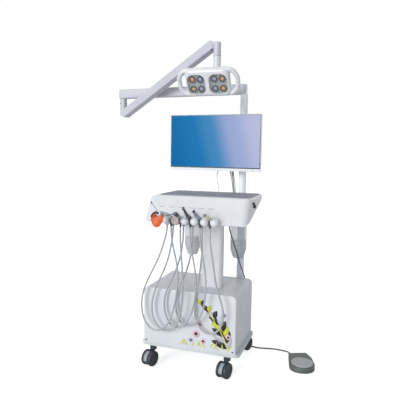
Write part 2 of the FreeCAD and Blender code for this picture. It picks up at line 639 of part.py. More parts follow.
def make_caster_fork(name):
    """Stem, neck, hood and axle of a twin-wheel caster, with a slot for the brake's eye."""
    stem = cylinder("stem", "stem_radius", "deck_bottom + stem_length - wheel_radius", "0", "0",
                    "wheel_radius")
    neck_low = "wheel_radius * 2 + pass_gap"
    neck = cylinder("neck", "neck_radius", "deck_bottom - seat_gap - (%s)" % neck_low, "0",
                    "0", neck_low)
    hood = cylinder("hood", "hood_radius", "hood_width", "caster_trail", "-hood_width / 2",
                    "wheel_radius", axis="y")
    axle = cylinder("axle", "axle_radius", "wheel_gap + wheel_width * 2", "caster_trail",
                    "-wheel_gap / 2 - wheel_width", "wheel_radius", axis="y")
    web = box("web", "caster_trail", "hood_width", "wheel_radius", "0", "-hood_width / 2",
              "wheel_radius")
    fork = fuse("fork", stem, neck, hood, axle, web)
    if name.startswith("front"):
        pin_x = "caster_trail + brake_pin_offset"
        pin_z = "wheel_radius + brake_pin_height"
        slot = cylinder("brake_slot", "brake_eye_radius + seat_gap",
                        "brake_eye_width + seat_gap * 2", pin_x,
                        "-brake_eye_width / 2 - seat_gap", pin_z, axis="y")
        pin = cylinder("brake_pin", "brake_pin_radius", "hood_width", pin_x,
                       "-hood_width / 2", pin_z, axis="y")
        fork = fuse("braked_fork", cut("slotted_fork", fork, slot), pin)
    return keep(placed(fork, caster_place(name)), "caster_fork_" + name)


def make_caster_wheels(name):
    """The two wheels of a caster, one each side of the hood."""
    wheels = []
    for start in ("wheel_gap / 2", "-wheel_gap / 2 - wheel_width"):
        wheel = turned("wheel", [
            ("axle_radius + running_fit", "0"), ("wheel_radius - wheel_edge", "0"),
            ("wheel_radius - wheel_edge * 0.3", "wheel_edge * 0.3"),
            ("wheel_radius", "wheel_edge"), ("wheel_radius", "wheel_width - wheel_edge"),
            ("wheel_radius - wheel_edge * 0.3", "wheel_width - wheel_edge * 0.3"),
            ("wheel_radius - wheel_edge", "wheel_width"),
            ("axle_radius + running_fit", "wheel_width")])
        wheel.Placement = Placement(vector("caster_trail", start, "wheel_radius"), TURNS["y"])
        wheels.append(wheel)
    pair = group("wheel_pair", *wheels)
    return keep(placed(pair, caster_place(name)), "caster_wheels_" + name)


def make_caster_brake(name):
    """The brake pedal: a strap bent over the hood between the wheels, on its pin."""
    pin_x = "caster_trail + brake_pin_offset"
    pin_z = "wheel_radius + brake_pin_height"
    inner = "hood_radius + seat_gap"
    outer = inner + " + brake_strap_thickness"
    eye = cylinder("brake_eye", "brake_eye_radius", "brake_eye_width", pin_x,
                   "-brake_eye_width / 2", pin_z, axis="y")
    ring = cut("brake_ring", cylinder("brake_outer", outer, "brake_strap_width", "caster_trail",
                                      "-brake_strap_width / 2", "wheel_radius", axis="y"),
               cylinder("brake_inner", inner, "brake_strap_width", "caster_trail",
                        "-brake_strap_width / 2", "wheel_radius", axis="y"))
    front = box("brake_front", "hood_radius", "brake_strap_width",
                outer + " + brake_strap_low", pin_x + " + pass_gap * 2",
                "-brake_strap_width / 2", "wheel_radius - brake_strap_low")
    bore = cylinder("brake_bore", "brake_pin_radius + running_fit", "brake_strap_width", pin_x,
                    "-brake_strap_width / 2", pin_z, axis="y")
    pedal = cut("brake", fuse("brake_solid", eye, common("brake_strap", ring, front)), bore)
    return keep(placed(pedal, caster_place(name)), "caster_brake_" + name)


# ---- column and tray

def make_column():
    """The hollow pillar from the deck, through the cover, to its head inside the tray."""
    low = "deck_bottom + deck_height"
    head_low = "tray_top - tray_wall - column_head_height"
    outer = rounded_slab("column_outer", "column_width", "column_depth",
                         "%s - (%s)" % (head_low, low), "column_corner", "column_x",
                         "column_y", low)
    inner = rounded_slab("column_inner", "column_width - column_wall * 2",
                         "column_depth - column_wall * 2", "%s - (%s)" % (head_low, low),
                         "column_corner - column_wall", "column_x", "column_y", low)
    head = block("column_head", "column_head_width", "column_head_depth",
                 "column_head_height", "column_x", "column_y", head_low)
    return keep(fuse("column", cut("column_tube", outer, inner), head), "column")


def tray_profile(grow):
    """The tray's side outline as (y, z), drawn inwards by the given share of its wall."""
    inset = "tray_wall * %s" % grow
    return [
        ("tray_front_top + 1.2 * %s" % inset, "tray_top - %s" % inset),
        ("tray_front_low + 3 * %s" % inset, "tray_lip_top + %s" % inset),
        ("tray_lip_front + 2 * %s" % inset, "tray_lip_bottom + 1.6 * %s" % inset),
        ("tray_lip_back + %s" % inset, "tray_lip_bottom + 1.6 * %s" % inset),
        ("tray_knee_y", "tray_knee_z + 1.2 * %s" % inset),
        ("tray_heel_y - %s" % inset, "tray_heel_z + %s" % inset),
        ("tray_back - %s" % inset, "tray_tail_z"),
        ("tray_back - %s" % inset, "tray_top - %s" % inset)]


# How far the tray's sloping block runs beyond the tray, as a share of the slope.
BEYOND = 0.25


def sloping_block(name, grow, left, right):
    """A block with the tray's sloping front, whose two leaning front edges are rounded."""
    (top_y, top_z), (low_y, low_z) = tray_profile(grow)[:2]
    fall_y, fall_z = ["%s * ((%s) - (%s))" % (BEYOND, low, top)
                      for low, top in ((low_y, top_y), (low_z, top_z))]
    body = new_body(name)
    sketch = sketch_on(body, "YZ_Plane", left)
    draw_outline(sketch, [
        (top_y + " - (%s)" % fall_y, top_z + " - (%s)" % fall_z),
        (low_y + " + " + fall_y, low_z + " + " + fall_z),
        ("tray_back + tray_wall", low_z + " + " + fall_z),
        ("tray_back + tray_wall", top_z + " - (%s)" % fall_z)])
    pad(body, sketch, "%s - (%s)" % (right, left))
    middle = value("tray_knee_y")
    soften(body, "tray_front_round - tray_wall * %s" % grow, lambda edge: (
        edge.CenterOfMass.y < middle - 1 and abs(edge.tangentAt(edge.FirstParameter).z) > 0.5))
    return body


def tray_block(name, grow):
    """The tray as a solid: its front outline, its side outline and its rounded corners met."""
    inset = "tray_wall * %s" % grow
    left, right = "tray_left + " + inset, "tray_right - " + inset
    low, high = "tray_lip_bottom + " + inset, "tray_top - " + inset
    front = new_body(name + "_front")
    sketch = sketch_on(front, "XZ_Plane", "-tray_back - tray_wall")
    draw_outline(sketch, [(left, low), (right, low), (right, high), (left, high)])
    pad(front, sketch, "tray_back - tray_front_low + tray_wall * 2")
    lateral = Vector(0, 1, 0)
    middle = value("(tray_left + tray_right) / 2")
    crest = value("(tray_top + tray_lip_bottom) / 2")
    corners = (("tray_left_round - " + inset, False, True),
               ("tray_low_round - " + inset, False, False),
               ("tray_right_round - " + inset, True, True),
               ("tray_low_round - " + inset, True, False))
    for radius, on_right, on_top in corners:
        soften(front, radius, lambda edge, right_side=on_right, top_side=on_top: (
            runs_along(edge, lateral) and (edge.CenterOfMass.x > middle) == right_side
            and (edge.CenterOfMass.z > crest) == top_side))
    side = new_body(name + "_side")
    outline = sketch_on(side, "YZ_Plane", "tray_left - tray_wall")
    draw_outline(outline, tray_profile(grow))
    pad(side, outline, "tray_right - tray_left + tray_wall * 2")
    ends = common(name + "_ends", front, sloping_block(name + "_slope", grow, left, right))
    return common(name, ends, side)


def front_slope():
    """How far the tray's front leans back from upright, in degrees."""
    return math.degrees(math.atan2(value("tray_front_top - tray_front_low"),
                                   value("tray_top - tray_lip_top")))


def make_tray():
    """The hollow white tray body."""
    cavity_holes = [
        rounded_slab("tray_column_hole", "column_width + seat_gap * 2",
                     "column_depth + seat_gap * 2",
                     "tray_top - tray_wall - column_head_height - cabinet_top",
                     "column_corner + seat_gap", "column_x", "column_y", "cabinet_top")]
    for x in GLAND_XS:
        cavity_holes.append(cylinder("tray_gland_hole", "gland_radius + running_fit",
                                     "gland_top - gland_bottom", "%s" % x, "gland_y",
                                     "gland_bottom"))
    for label, x, y, radius, low, high in CORD_GLANDS:
        cavity_holes.append(cylinder(label + "_hole", radius + " + running_fit",
                                     "%s - (%s)" % (high, low), x, y, low))
    for x in ("tank_left_x", "tank_right_x"):
        cavity_holes.append(cylinder("tray_cap_hole", "cap_radius + running_fit",
                                     "cap_top - cap_bottom", x, "tank_y", "cap_bottom"))
    for name in ("air_knob", "water_knob"):
        cavity_holes.append(cylinder(name + "_hole", "knob_stem_radius + running_fit",
                                     "tray_wall * 4", "tray_right - tray_wall * 2",
                                     name + "_y", name + "_z", axis="x"))
    face_y = "tray_front_low + (groove_z - tray_lip_top) * " \
             "(tray_front_top - tray_front_low) / (tray_top - tray_lip_top)"
    for index in range(FINGER_COUNT):
        groove = box("tray_groove", "groove_length", "groove_depth * 2", "groove_width",
                     "-groove_length / 2", "-groove_depth", "0")
        face = Placement(vector("groove_first_x + groove_pitch * %d" % index, face_y,
                                "groove_z"), Rotation(Vector(1, 0, 0), -front_slope()))
        cavity_holes.append(placed(groove, face))
    shell = cut("tray_open", tray_block("tray_outer", 0), tray_block("tray_inner", 1),
                *cavity_holes)
    return keep(shell, "tray_body")


def make_mat():
    """The grey silicone mat that lies on the tray."""
    body = rounded_slab("mat", "mat_right - mat_left", "mat_back - mat_front", "mat_thickness",
                        "mat_corner", "(mat_left + mat_right) / 2", "(mat_front + mat_back) / 2",
                        "tray_top")
    return keep(body, "tray_mat")


def finger_place(x):
    """The root of a holder finger: local +Z runs out along the finger, local +Y up."""
    return Placement(vector(x, "finger_root_y", "finger_root_z"),
                     Rotation(Vector(1, 0, 0), 90 - value("finger_tilt")))


def make_holder():
    """The instrument holder: a rail on the tray's front with round fingers side by side."""
    front = Placement(vector("finger_first_x", "tray_front_low", "tray_lip_top"),
                      Rotation(Vector(1, 0, 0), -front_slope()))
    rail = box("holder_rail", "finger_pitch * %d + finger_radius" % (FINGER_COUNT - 1),
               "rail_thickness", "rail_height", "-finger_radius / 2", "-rail_thickness")
    fingers = [placed(rail, front)]
    for index in range(FINGER_COUNT):
        finger = new_body("finger")
        sketch = sketch_on(finger, "XY_Plane", "-finger_radius")
        draw_circle(sketch, "0", "0", "finger_radius")
        pad(finger, sketch, "finger_length + finger_radius")
        soften(finger, "finger_round", level_with(value("finger_length")))
        finger.Placement = finger_place("finger_first_x + finger_pitch * %d" % index)
        fingers.append(finger)
    behind = box("behind_front", "tray_right - tray_left", "finger_length * 2",
                 "finger_radius * 8", "tray_left - finger_first_x", "0", "-finger_radius * 3")
    return keep(cut("holder", fuse("holder_solid", *fingers), placed(behind, front)),
                "instrument_holder")


def make_glands():
    """The hose glands in a row under the tray, and the gland of each cord."""
    glands = []
    for x in GLAND_XS:
        glands.append(cylinder("hose_gland", "gland_radius", "gland_top - gland_bottom",
                               str(x), "gland_y", "gland_bottom"))
    for label, x, y, radius, low, high in CORD_GLANDS:
        glands.append(cylinder(label, radius, "%s - (%s)" % (high, low), x, y, low))
    for label, radius, route in (("loom_exit", "loom_gland_radius", LOOM),
                                 ("video_exit", "cord_gland_radius", VIDEO_CORD)):
        start, after = Vector(*route[0]), Vector(*route[1])
        tube = cylinder(label + "_tube", radius, "cord_gland_length * 2.5")
        placed(tube, Placement(start, Rotation(Vector(0, 0, 1), start - after)))
        pole = cylinder(label + "_pole", "pole_radius", "pole_top", "pole_x", "pole_y", "0")
        glands.append(cut(label, tube, pole))
    glands.append(cylinder("rear_gland", "cord_gland_radius", "cord_gland_length",
                           "rear_gland_x", "cabinet_depth / 2", "rear_gland_z", axis="y"))
    glands.append(cylinder("deck_gland", "cord_gland_radius",
                           "deck_bottom + deck_height - deck_wall - deck_gland_bottom",
                           "deck_gland_x", "deck_gland_y", "deck_gland_bottom"))
    heel = cylinder("foot_gland", "cord_gland_radius",
                    "cord_gland_length - foot_wall + seat_gap", "foot_gland_x", "foot_heel_y",
                    "foot_gland_z", axis="y")
    glands.append(placed(heel, foot_place()))
    return keep(group("glands", *glands), "cord_glands")


def make_caps():
    """The two bottle caps: cups that stand through the tray's underside, mouth down."""
    caps = []
    for x in ("tank_left_x", "tank_right_x"):
        cap = cylinder("cap", "cap_radius", "cap_top - cap_bottom", x, "tank_y", "cap_bottom")
        mouth = cylinder("cap_mouth", "tank_neck_radius + running_fit",
                         "tank_neck_top - cap_bottom + seat_gap", x, "tank_y", "cap_bottom")
        caps.append(cut("cap_open", cap, mouth))
    return keep(group("caps", *caps), "bottle_caps")


def make_bottle(label, x):
    """A hollow water bottle with a tapered foot, screwed into its cap by the neck."""
    body = turned(label, [
        ("0", "tank_bottom"), ("tank_foot_radius", "tank_bottom"),
        ("tank_radius", "tank_bottom + tank_taper"), ("tank_radius", "tank_shoulder"),
        ("tank_radius * 0.8", "tank_shoulder * 0.5 + tank_neck_bottom * 0.5"),
        ("tank_neck_radius", "tank_neck_bottom"),
        ("tank_neck_radius", "tank_neck_top"),
        ("tank_neck_radius - tank_wall * 2", "tank_neck_top"),
        ("tank_neck_radius - tank_wall * 2", "tank_neck_bottom - tank_wall"),
        ("tank_radius * 0.8 - tank_wall",
         "tank_shoulder * 0.5 + tank_neck_bottom * 0.5 - tank_wall"),
        ("tank_radius - tank_wall", "tank_shoulder - tank_wall"),
        ("tank_radius - tank_wall", "tank_bottom + tank_taper"),
        ("tank_foot_radius - tank_wall", "tank_bottom + tank_wall"),
        ("0", "tank_bottom + tank_wall")])
    body.Placement = Placement(vector(x, "tank_y", "0"), Rotation())
    return keep(body, label)


def make_knob(name, label):
    """A control knob on the right end of the tray, on a stem through the wall."""
    body = turned(name, [
        ("0", "-tray_wall * 2"), ("knob_stem_radius", "-tray_wall * 2"),
        ("knob_stem_radius", "seat_gap"), (name + "_radius", "seat_gap"),
        (name + "_radius", "knob_height - 1"), (name + "_radius - 1", "knob_height"),
        ("0", "knob_height")])
    body.Placement = Placement(vector("tray_right", name + "_y", name + "_z"), TURNS["x"])
    return keep(body, label)


# ---- rear pole and monitor

def make_pole():
    """The rear pole: a tube with a spigot on top for the lamp arm."""
    body = turned("pole", [
        ("pole_radius - pole_wall", "pole_bottom"), ("pole_radius", "pole_bottom"),
        ("pole_radius", "pole_top - seat_gap"), ("spigot_radius", "pole_top - seat_gap"),
        ("spigot_radius", "pole_top + spigot_length"),
        ("spigot_radius - pole_wall", "pole_top + spigot_length"),
        ("spigot_radius - pole_wall", "pole_top - pole_wall"),
        ("pole_radius - pole_wall", "pole_top - pole_wall * 3")])
    body.Placement = Placement(vector("pole_x", "pole_y", "0"), Rotation())
    return keep(body, "rear_pole")


def make_clamps():
    """Two clamps that hold the pole behind the cabinet; the lower one closes under it."""
    clamps = []
    for low in ("clamp_low_z", "clamp_high_z"):
        ring = cylinder("clamp_ring", "clamp_radius", "clamp_height", "pole_x", "pole_y", low)
        foot = box("clamp_foot", "clamp_radius * 2", "pole_y - cabinet_depth / 2",
                   "clamp_height", "pole_x - clamp_radius", "cabinet_depth / 2", low)
        bore_low = "pole_bottom" if low == "clamp_low_z" else low
        bore = cylinder("clamp_bore", "pole_radius", "clamp_height", "pole_x", "pole_y",
                        bore_low)
        clamps.append(cut("clamp", fuse("clamp_solid", ring, foot), bore))
    return keep(group("clamps", *clamps), "pole_clamps")


def make_bracket():
    """The monitor bracket: a ring that pans on the pole, an arm and the pin of the tilt."""
    middle = "monitor_bottom + monitor_height / 2"
    low = "%s - bracket_height / 2" % middle
    ring = cylinder("bracket_ring", "bracket_radius", "bracket_height", "pole_x", "pole_y", low)
    bore = cylinder("bracket_bore", "pole_radius + running_fit", "bracket_height", "pole_x",
                    "pole_y", low)
    arm_y = "pole_y - bracket_arm_depth / 2"
    arm = box("bracket_arm", "pole_x - monitor_x + tilt_eye_width / 2", "bracket_arm_depth",
              "bracket_arm_height", "monitor_x - tilt_eye_width / 2", arm_y,
              "%s - bracket_arm_height / 2" % middle)
    eye = cylinder("bracket_eye", "tilt_eye_radius", "tilt_eye_width",
                   "monitor_x - tilt_eye_width / 2", "monitor_pivot_y", middle, axis="x")
    link = box("bracket_link", "tilt_eye_width", "pole_y - monitor_pivot_y",
               "tilt_eye_radius * 1.6", "monitor_x - tilt_eye_width / 2", "monitor_pivot_y",
               "%s - tilt_eye_radius * 0.8" % middle)
    pin = cylinder("bracket_pin", "tilt_pin_radius",
                   "tilt_eye_width + (lug_thickness + seat_gap) * 2",
                   "monitor_x - tilt_eye_width / 2 - lug_thickness - seat_gap",
                   "monitor_pivot_y", middle, axis="x")
    bracket = cut("bracket", fuse("bracket_solid", ring, arm, eye, link, pin), bore)
    return keep(bracket, "monitor_bracket")


def make_monitor():
    """The monitor's housing: a slim edge, a deeper middle and two tilt lugs."""
    back = "monitor_front + monitor_edge_depth"
    slab = new_body("monitor_slab")
    face = sketch_on(slab, "XZ_Plane", "-(%s)" % back)
    draw_outline(face, rectangle("monitor_width", "monitor_height", "monitor_x",
                                 "monitor_bottom + monitor_height / 2"))
    pad(slab, face, "monitor_edge_depth")
    soften(slab, "monitor_corner", lambda edge: runs_along(edge, Vector(0, 1, 0)))
    middle = "monitor_bottom + monitor_height / 2"
    bulge = box("monitor_bulge", "monitor_bulge_width", "monitor_bulge_depth",
                "monitor_bulge_height", "monitor_x - monitor_bulge_width / 2", back,
                "%s - monitor_bulge_height / 2" % middle)
    lugs = []
    for start in ("monitor_x - tilt_eye_width / 2 - lug_thickness - seat_gap",
                  "monitor_x + tilt_eye_width / 2 + seat_gap"):
        lug = fuse("monitor_lug_solid",
                   cylinder("lug_end", "tilt_eye_radius", "lug_thickness", start,
                            "monitor_pivot_y", middle, axis="x"),
                   box("lug_web", "lug_thickness", "monitor_pivot_y - (%s)" % back,
                       "tilt_eye_radius * 2", start, back, "%s - tilt_eye_radius" % middle))
        lugs.append(lug)
    bore = cylinder("lug_bore", "tilt_pin_radius + running_fit", "monitor_bulge_width",
                    "monitor_x - monitor_bulge_width / 2", "monitor_pivot_y", middle, axis="x")
    opening = box("panel_opening", "panel_width", "panel_thickness", "panel_height",
                  "monitor_x - panel_width / 2", "monitor_front",
                  "monitor_bottom + panel_chin")
    space = box("panel_space", "panel_width - panel_chin * 2", "panel_pocket",
                "panel_height - panel_chin * 2", "monitor_x - panel_width / 2 + panel_chin",
                "monitor_front", "monitor_bottom + panel_chin * 2")
    housing = cut("monitor", fuse("monitor_solid", slab, bulge, *lugs), bore, opening, space)
    return keep(housing, "monitor_housing")


def make_panel():
    """The display panel in the front of the monitor."""
    piece = box("panel", "panel_width", "panel_thickness", "panel_height",
                "monitor_x - panel_width / 2", "monitor_front", "monitor_bottom + panel_chin")
    return keep(piece, "monitor_screen")


# ---- lamp arms

def pole_axis(z):
    return vector("pole_x", "pole_y", z)


def arm_place():
    """The lamp arm's own frame: at the pole's top, with the arm along local -X."""
    return Placement(pole_axis("pole_top"), Rotation(Vector(0, 0, 1), value("arm_angle")))


def make_lamp_arm():
    """The level box arm, which turns on the pole's spigot."""
    length = "arm_reach + arm_nose + arm_overhang"
    tube = new_body("arm_tube")
    face = sketch_on(tube, "YZ_Plane", "-arm_reach - arm_nose")
    draw_outline(face, rectangle("arm_width", "arm_height", "0", "arm_height / 2"))
    pad(tube, face, length)
    soften(tube, "arm_round", lambda edge: runs_along(edge, Vector(1, 0, 0)))
    inside = box("arm_inside", "%s - arm_wall * 2" % length, "arm_width - arm_wall * 2",
                 "arm_height - arm_wall * 2", "-arm_reach - arm_nose + arm_wall",
                 "-arm_width / 2 + arm_wall", "arm_wall")
    sleeve = cylinder("arm_sleeve", "socket_radius - running_fit", "arm_height - arm_wall")
    elbow_sleeve = cylinder("arm_elbow_sleeve", "elbow_stem_radius + arm_wall",
                            "arm_height - arm_wall", "-arm_reach")
    bore = cylinder("arm_bore", "spigot_radius + running_fit", "spigot_length + seat_gap")
    elbow_bore = cylinder("arm_elbow_bore", "elbow_stem_radius + running_fit",
                          "elbow_stem_length + seat_gap", "-arm_reach")
    solid = fuse("arm_solid", cut("arm_hollow", tube, inside), sleeve, elbow_sleeve)
    arm = cut("arm", solid, bore, elbow_bore)
    return keep(placed(arm, arm_place()), "lamp_arm")


def elbow_place():
    """The elbow's own frame: under the arm's end, with the spring arm towards local +X."""
    end = arm_place().multVec(vector("-arm_reach", "0", "0"))
    return Placement(end, Rotation(Vector(0, 0, 1), value("elbow_angle")))


def make_elbow():
    """The post under the arm's end, with a stem above and an eye with the spring arm's pin."""
    post = rounded_slab("elbow_post", "elbow_length", "elbow_width", "elbow_height - seat_gap",
                        "elbow_round", z="-elbow_height")
    stem = cylinder("elbow_stem", "elbow_stem_radius", "elbow_stem_length + elbow_base", "0",
                    "0", "-elbow_base")
    side = "-elbow_pivot_side - elbow_eye_width / 2"
    web = box("elbow_web", "elbow_pivot_reach", "elbow_eye_width", "elbow_eye_radius * 2", "0",
              side, "-elbow_pivot_drop - elbow_eye_radius")
    eye = cylinder("elbow_eye", "elbow_eye_radius", "elbow_eye_width", "elbow_pivot_reach",
                   side, "-elbow_pivot_drop", axis="y")
    pin = cylinder("elbow_pin", "elbow_pin_radius", "spring_width", "elbow_pivot_reach",
                   "-elbow_pivot_side - spring_width / 2", "-elbow_pivot_drop", axis="y")
    return keep(placed(fuse("elbow", post, stem, web, eye, pin), elbow_place()), "lamp_elbow")


def spring_place():
    """The spring arm's own frame: at its lower pivot, with its length along local +X."""
    offset = Placement(vector("elbow_pivot_reach", "-elbow_pivot_side", "-elbow_pivot_drop"),
                       Rotation(Vector(0, 1, 0), -value("spring_angle")))
    return elbow_place().multiply(offset)


def make_spring_arm():
    """The rising box arm, whose side walls straddle the elbow's eye and the knuckle."""
    length = "spring_length + spring_tail + spring_nose"
    tube = new_body("spring_tube")
    face = sketch_on(tube, "YZ_Plane", "-spring_tail")
    draw_outline(face, rectangle("spring_width", "spring_height"))
    pad(tube, face, length)
    soften(tube, "arm_round", lambda edge: runs_along(edge, Vector(1, 0, 0)))
    side = new_body("spring_side")
    outline = sketch_on(side, "XZ_Plane")
    draw_outline(outline, rectangle(length, "spring_height",
                                    "(spring_length + spring_nose - spring_tail) / 2"))
    pad(side, outline, "spring_width", "Symmetric")
    soften(side, "spring_round", lambda edge: runs_along(edge, Vector(0, 1, 0)))
    inner_width = "spring_width - arm_wall * 2"
    holes = [
        box("spring_inside", length, inner_width, "spring_height - arm_wall * 2",
            "-spring_tail", "-(%s) / 2" % inner_width, "-spring_height / 2 + arm_wall"),
        cylinder("spring_bore", "elbow_pin_radius + running_fit", "spring_width", "0",
                 "-spring_width / 2", "0", axis="y")]
    for start, end, low in (
            ("-spring_tail", "spring_lip", "spring_height / 2 - arm_wall"),
            ("-spring_tail", "-spring_heel", "-spring_height / 2"),
            ("spring_length + spring_brow", "spring_length + spring_nose",
             "spring_height / 2 - arm_wall"),
            ("spring_length - spring_chin", "spring_length + spring_nose",
             "-spring_height / 2")):
        holes.append(box("spring_mouth", "%s - (%s)" % (end, start), inner_width, "arm_wall",
                         start, "-(%s) / 2" % inner_width, low))
    pin = cylinder("spring_pin", "tongue_pin_radius", "spring_width - arm_wall",
                   "spring_length", "-(spring_width - arm_wall) / 2", "0", axis="y")
    arm = fuse("spring", cut("spring_open", common("spring_solid", tube, side), *holes), pin)
    return keep(placed(arm, spring_place()), "spring_arm")


def knuckle_place():
    """The knuckle's own frame: on the lamp's upright axis, level with the arm's pin."""
    pivot = spring_place().multVec(vector("spring_length", "0", "0"))
    level = Rotation(Vector(0, 0, 1), value("elbow_angle"))
    return Placement(pivot + level.multVec(vector("knuckle_offset", "0", "0")), level)


def make_knuckle():
    """The knuckle at the end of the spring arm, bored below for the lamp's stem."""
    head = turned("knuckle_head", [
        ("0", "-knuckle_below"), ("knuckle_radius", "-knuckle_below"),
        ("knuckle_radius", "knuckle_above - knuckle_edge"),
        ("knuckle_radius - knuckle_edge", "knuckle_above"), ("0", "knuckle_above")])
    tongue = box("tongue", "knuckle_offset", "tongue_width", "tongue_height",
                 "-knuckle_offset", "-tongue_width / 2", "-tongue_height / 2")
    eye = cylinder("tongue_eye", "tongue_height / 2", "tongue_width", "-knuckle_offset",
                   "-tongue_width / 2", "0", axis="y")
    pin_bore = cylinder("tongue_bore", "tongue_pin_radius + running_fit", "tongue_width",
                        "-knuckle_offset", "-tongue_width / 2", "0", axis="y")
    bore = cylinder("knuckle_bore", "lamp_stem_radius + running_fit",
                    "lamp_stem_length + seat_gap", "0", "0", "-knuckle_below")
    knuckle = cut("knuckle", fuse("knuckle_solid", head, tongue, eye), pin_bore, bore)
    return keep(placed(knuckle, knuckle_place()), "lamp_knuckle")


def neck_place():
    """The neck's own frame: at the knuckle's lower face, square to the cabinet."""
    return Placement(knuckle_place().multVec(vector("0", "0", "-knuckle_below")), Rotation())


def make_neck():
    """The lamp's neck: a stem, a round sleeve, and a yoke forward to the lamp's hinge."""
    stem = cylinder("neck_stem", "lamp_stem_radius", "lamp_stem_length + lamp_neck_length / 2",
                    "0", "0", "-lamp_neck_length / 2")
    sleeve = cylinder("neck_sleeve", "lamp_neck_radius", "lamp_neck_length - seat_gap", "0",
                      "0", "-lamp_neck_length")
    yoke = box("yoke", "yoke_width", "yoke_reach", "yoke_height", "-yoke_width / 2",
               "-yoke_reach", "-yoke_drop - yoke_height / 2")
    eye = cylinder("yoke_eye", "yoke_height / 2", "yoke_width", "-yoke_width / 2",
                   "-yoke_reach", "-yoke_drop", axis="x")
    pin = cylinder("yoke_pin", "yoke_pin_radius", "yoke_pin_length", "-yoke_pin_length / 2",
                   "-yoke_reach", "-yoke_drop", axis="x")
    neck = fuse("lamp_neck_solid", stem, sleeve, yoke, eye, pin)
    return keep(placed(neck, neck_place()), "lamp_neck")


# ---- lamp head

def head_place():
    """The lamp head's own frame: in the middle of the head, with its front along local -Y."""
    tilt = Rotation(Vector(1, 0, 0), value("head_tilt"))
    pivot = neck_place().multVec(vector("0", "-yoke_reach", "-yoke_drop"))
    return Placement(pivot - tilt.multVec(vector("0", "head_depth / 2 + head_pivot_depth", "0")),
                     tilt)


def head_slab(name, width, height, corner, depth, back, x="0", z="0"):
    """A slab that faces the head's front, with its four corners rounded."""
    body = new_body(name)
    sketch = sketch_on(body, "XZ_Plane", "-(%s)" % back)
    draw_outline(sketch, rectangle(width, height, x, z))
    pad(body, sketch, depth)
    soften(body, corner, lambda edge: runs_along(edge, Vector(0, 1, 0)))
    return body


def window_spots():
    return [("-window_x", "-window_drop"), ("window_x", "-window_drop")]


def make_head():
    """The lamp's housing: a rounded plate with a grip at each end and two windows."""
    plate = head_slab("head_plate", "head_width", "head_height", "head_corner", "head_depth",
                      "head_depth / 2")
    rim = value("head_depth / 2")
    soften(plate, "head_edge", lambda edge: all(
        abs(abs(point.Y) - rim) < 1e-4 for point in edge.Vertexes))
    holes = []
    for side in ("-", ""):
        holes.append(head_slab("head_slot", "slot_width", "slot_height", "slot_round",
                               "head_depth * 2", "head_depth", side + "slot_x"))
    for x, z in window_spots():
        holes.append(head_slab("head_window", "window_width", "window_height", "window_round",
                               "board_depth", "board_depth - head_depth / 2", x, z))
    lugs = []
    for start in ("-yoke_width / 2 - seat_gap - (yoke_pin_length - yoke_width) / 2",
                  "yoke_width / 2 + seat_gap"):
        length = "(yoke_pin_length - yoke_width) / 2"
        lugs.append(box("head_lug_web", length, "head_pivot_depth + head_edge",
                        "yoke_height * 0.8", start, "head_depth / 2 - head_edge",
                        "-yoke_height * 0.4"))
        lugs.append(cylinder("head_lug_end", "yoke_height * 0.4", length, start,
                             "head_depth / 2 + head_pivot_depth", "0", axis="x"))
    bore = cylinder("head_lug_bore", "yoke_pin_radius + running_fit", "yoke_pin_length * 2",
                    "-yoke_pin_length", "head_depth / 2 + head_pivot_depth", "0", axis="x")
    cavity = box("head_cavity", "(slot_x - slot_width / 2 - cavity_wall * 2) * 2",
                 "head_depth - board_depth - cavity_wall", "window_height - window_round",
                 "-(slot_x - slot_width / 2 - cavity_wall * 2)",
                 "board_depth - head_depth / 2",
                 "-window_drop - (window_height - window_round) / 2")
    head = cut("head", fuse("head_solid", plate, *lugs), bore, cavity, *holes)
    return keep(placed(head, head_place()), "lamp_housing")


def make_lenses():
    """The two clear window panes of the lamp."""
    panes = []
    for x, z in window_spots():
        panes.append(head_slab("pane", "window_width - lens_gap * 2",
                               "window_height - lens_gap * 2", "window_round - lens_gap",
                               "lens_thickness", "lens_thickness - head_depth / 2 + lens_gap",
                               x, z))
    return keep(placed(group("panes", *panes), head_place()), "lamp_lenses")


def make_lights():
    """A board behind each window, with four light sources on it."""
    boards = []
    for x, z in window_spots():
        board = head_slab("board", "window_width - lens_gap * 2", "window_height - lens_gap * 2",
                          "window_round - lens_gap", "board_thickness",
                          "board_depth - head_depth / 2", x, z)
        parts = [board]
        for side in ("-", "+"):
            for level in ("-", "+"):
                parts.append(cylinder(
                    "led", "led_radius", "led_height", "%s %s led_x" % (x, side),
                    "board_depth - head_depth / 2 - board_thickness - led_height",
                    "%s %s led_z" % (z, level), axis="y"))
        boards.append(fuse("lit_board", *parts))
    return keep(placed(group("boards", *boards), head_place()), "lamp_light_boards")


# ---- foot control

def foot_place():
    return Placement(vector("foot_x", "foot_y", "0"),
                     Rotation(Vector(0, 0, 1), value("foot_angle")))


def foot_slab(name, inset, height):
    """The foot control's outline as a slab: a broad round toe and a slanted heel."""
    body = new_body(name)
    sketch = sketch_on(body, "XY_Plane")
    draw_outline(sketch, [
        ("foot_heel_left + " + inset, "foot_heel_y - " + inset),
        ("foot_toe_left_x + " + inset, "foot_toe_left_y + " + inset),
        ("foot_toe_right_x - " + inset, "foot_toe_right_y + " + inset),
        ("foot_side_x - " + inset, "foot_side_y"),
        ("foot_heel_right - " + inset, "foot_heel_y - " + inset)])
    pad(body, sketch, height)
    soften(body, "foot_toe_round - " + inset,
           lambda edge: upright(edge) and edge.CenterOfMass.y < 0)
    soften(body, "foot_heel_round - " + inset, lambda edge: (
        upright(edge) and edge.CenterOfMass.y > value("foot_side_y") + 1))
    return body


def pedal_low():
    """The height of the pedal's underside at rest."""
    return "foot_height + pedal_rise - pedal_thickness"


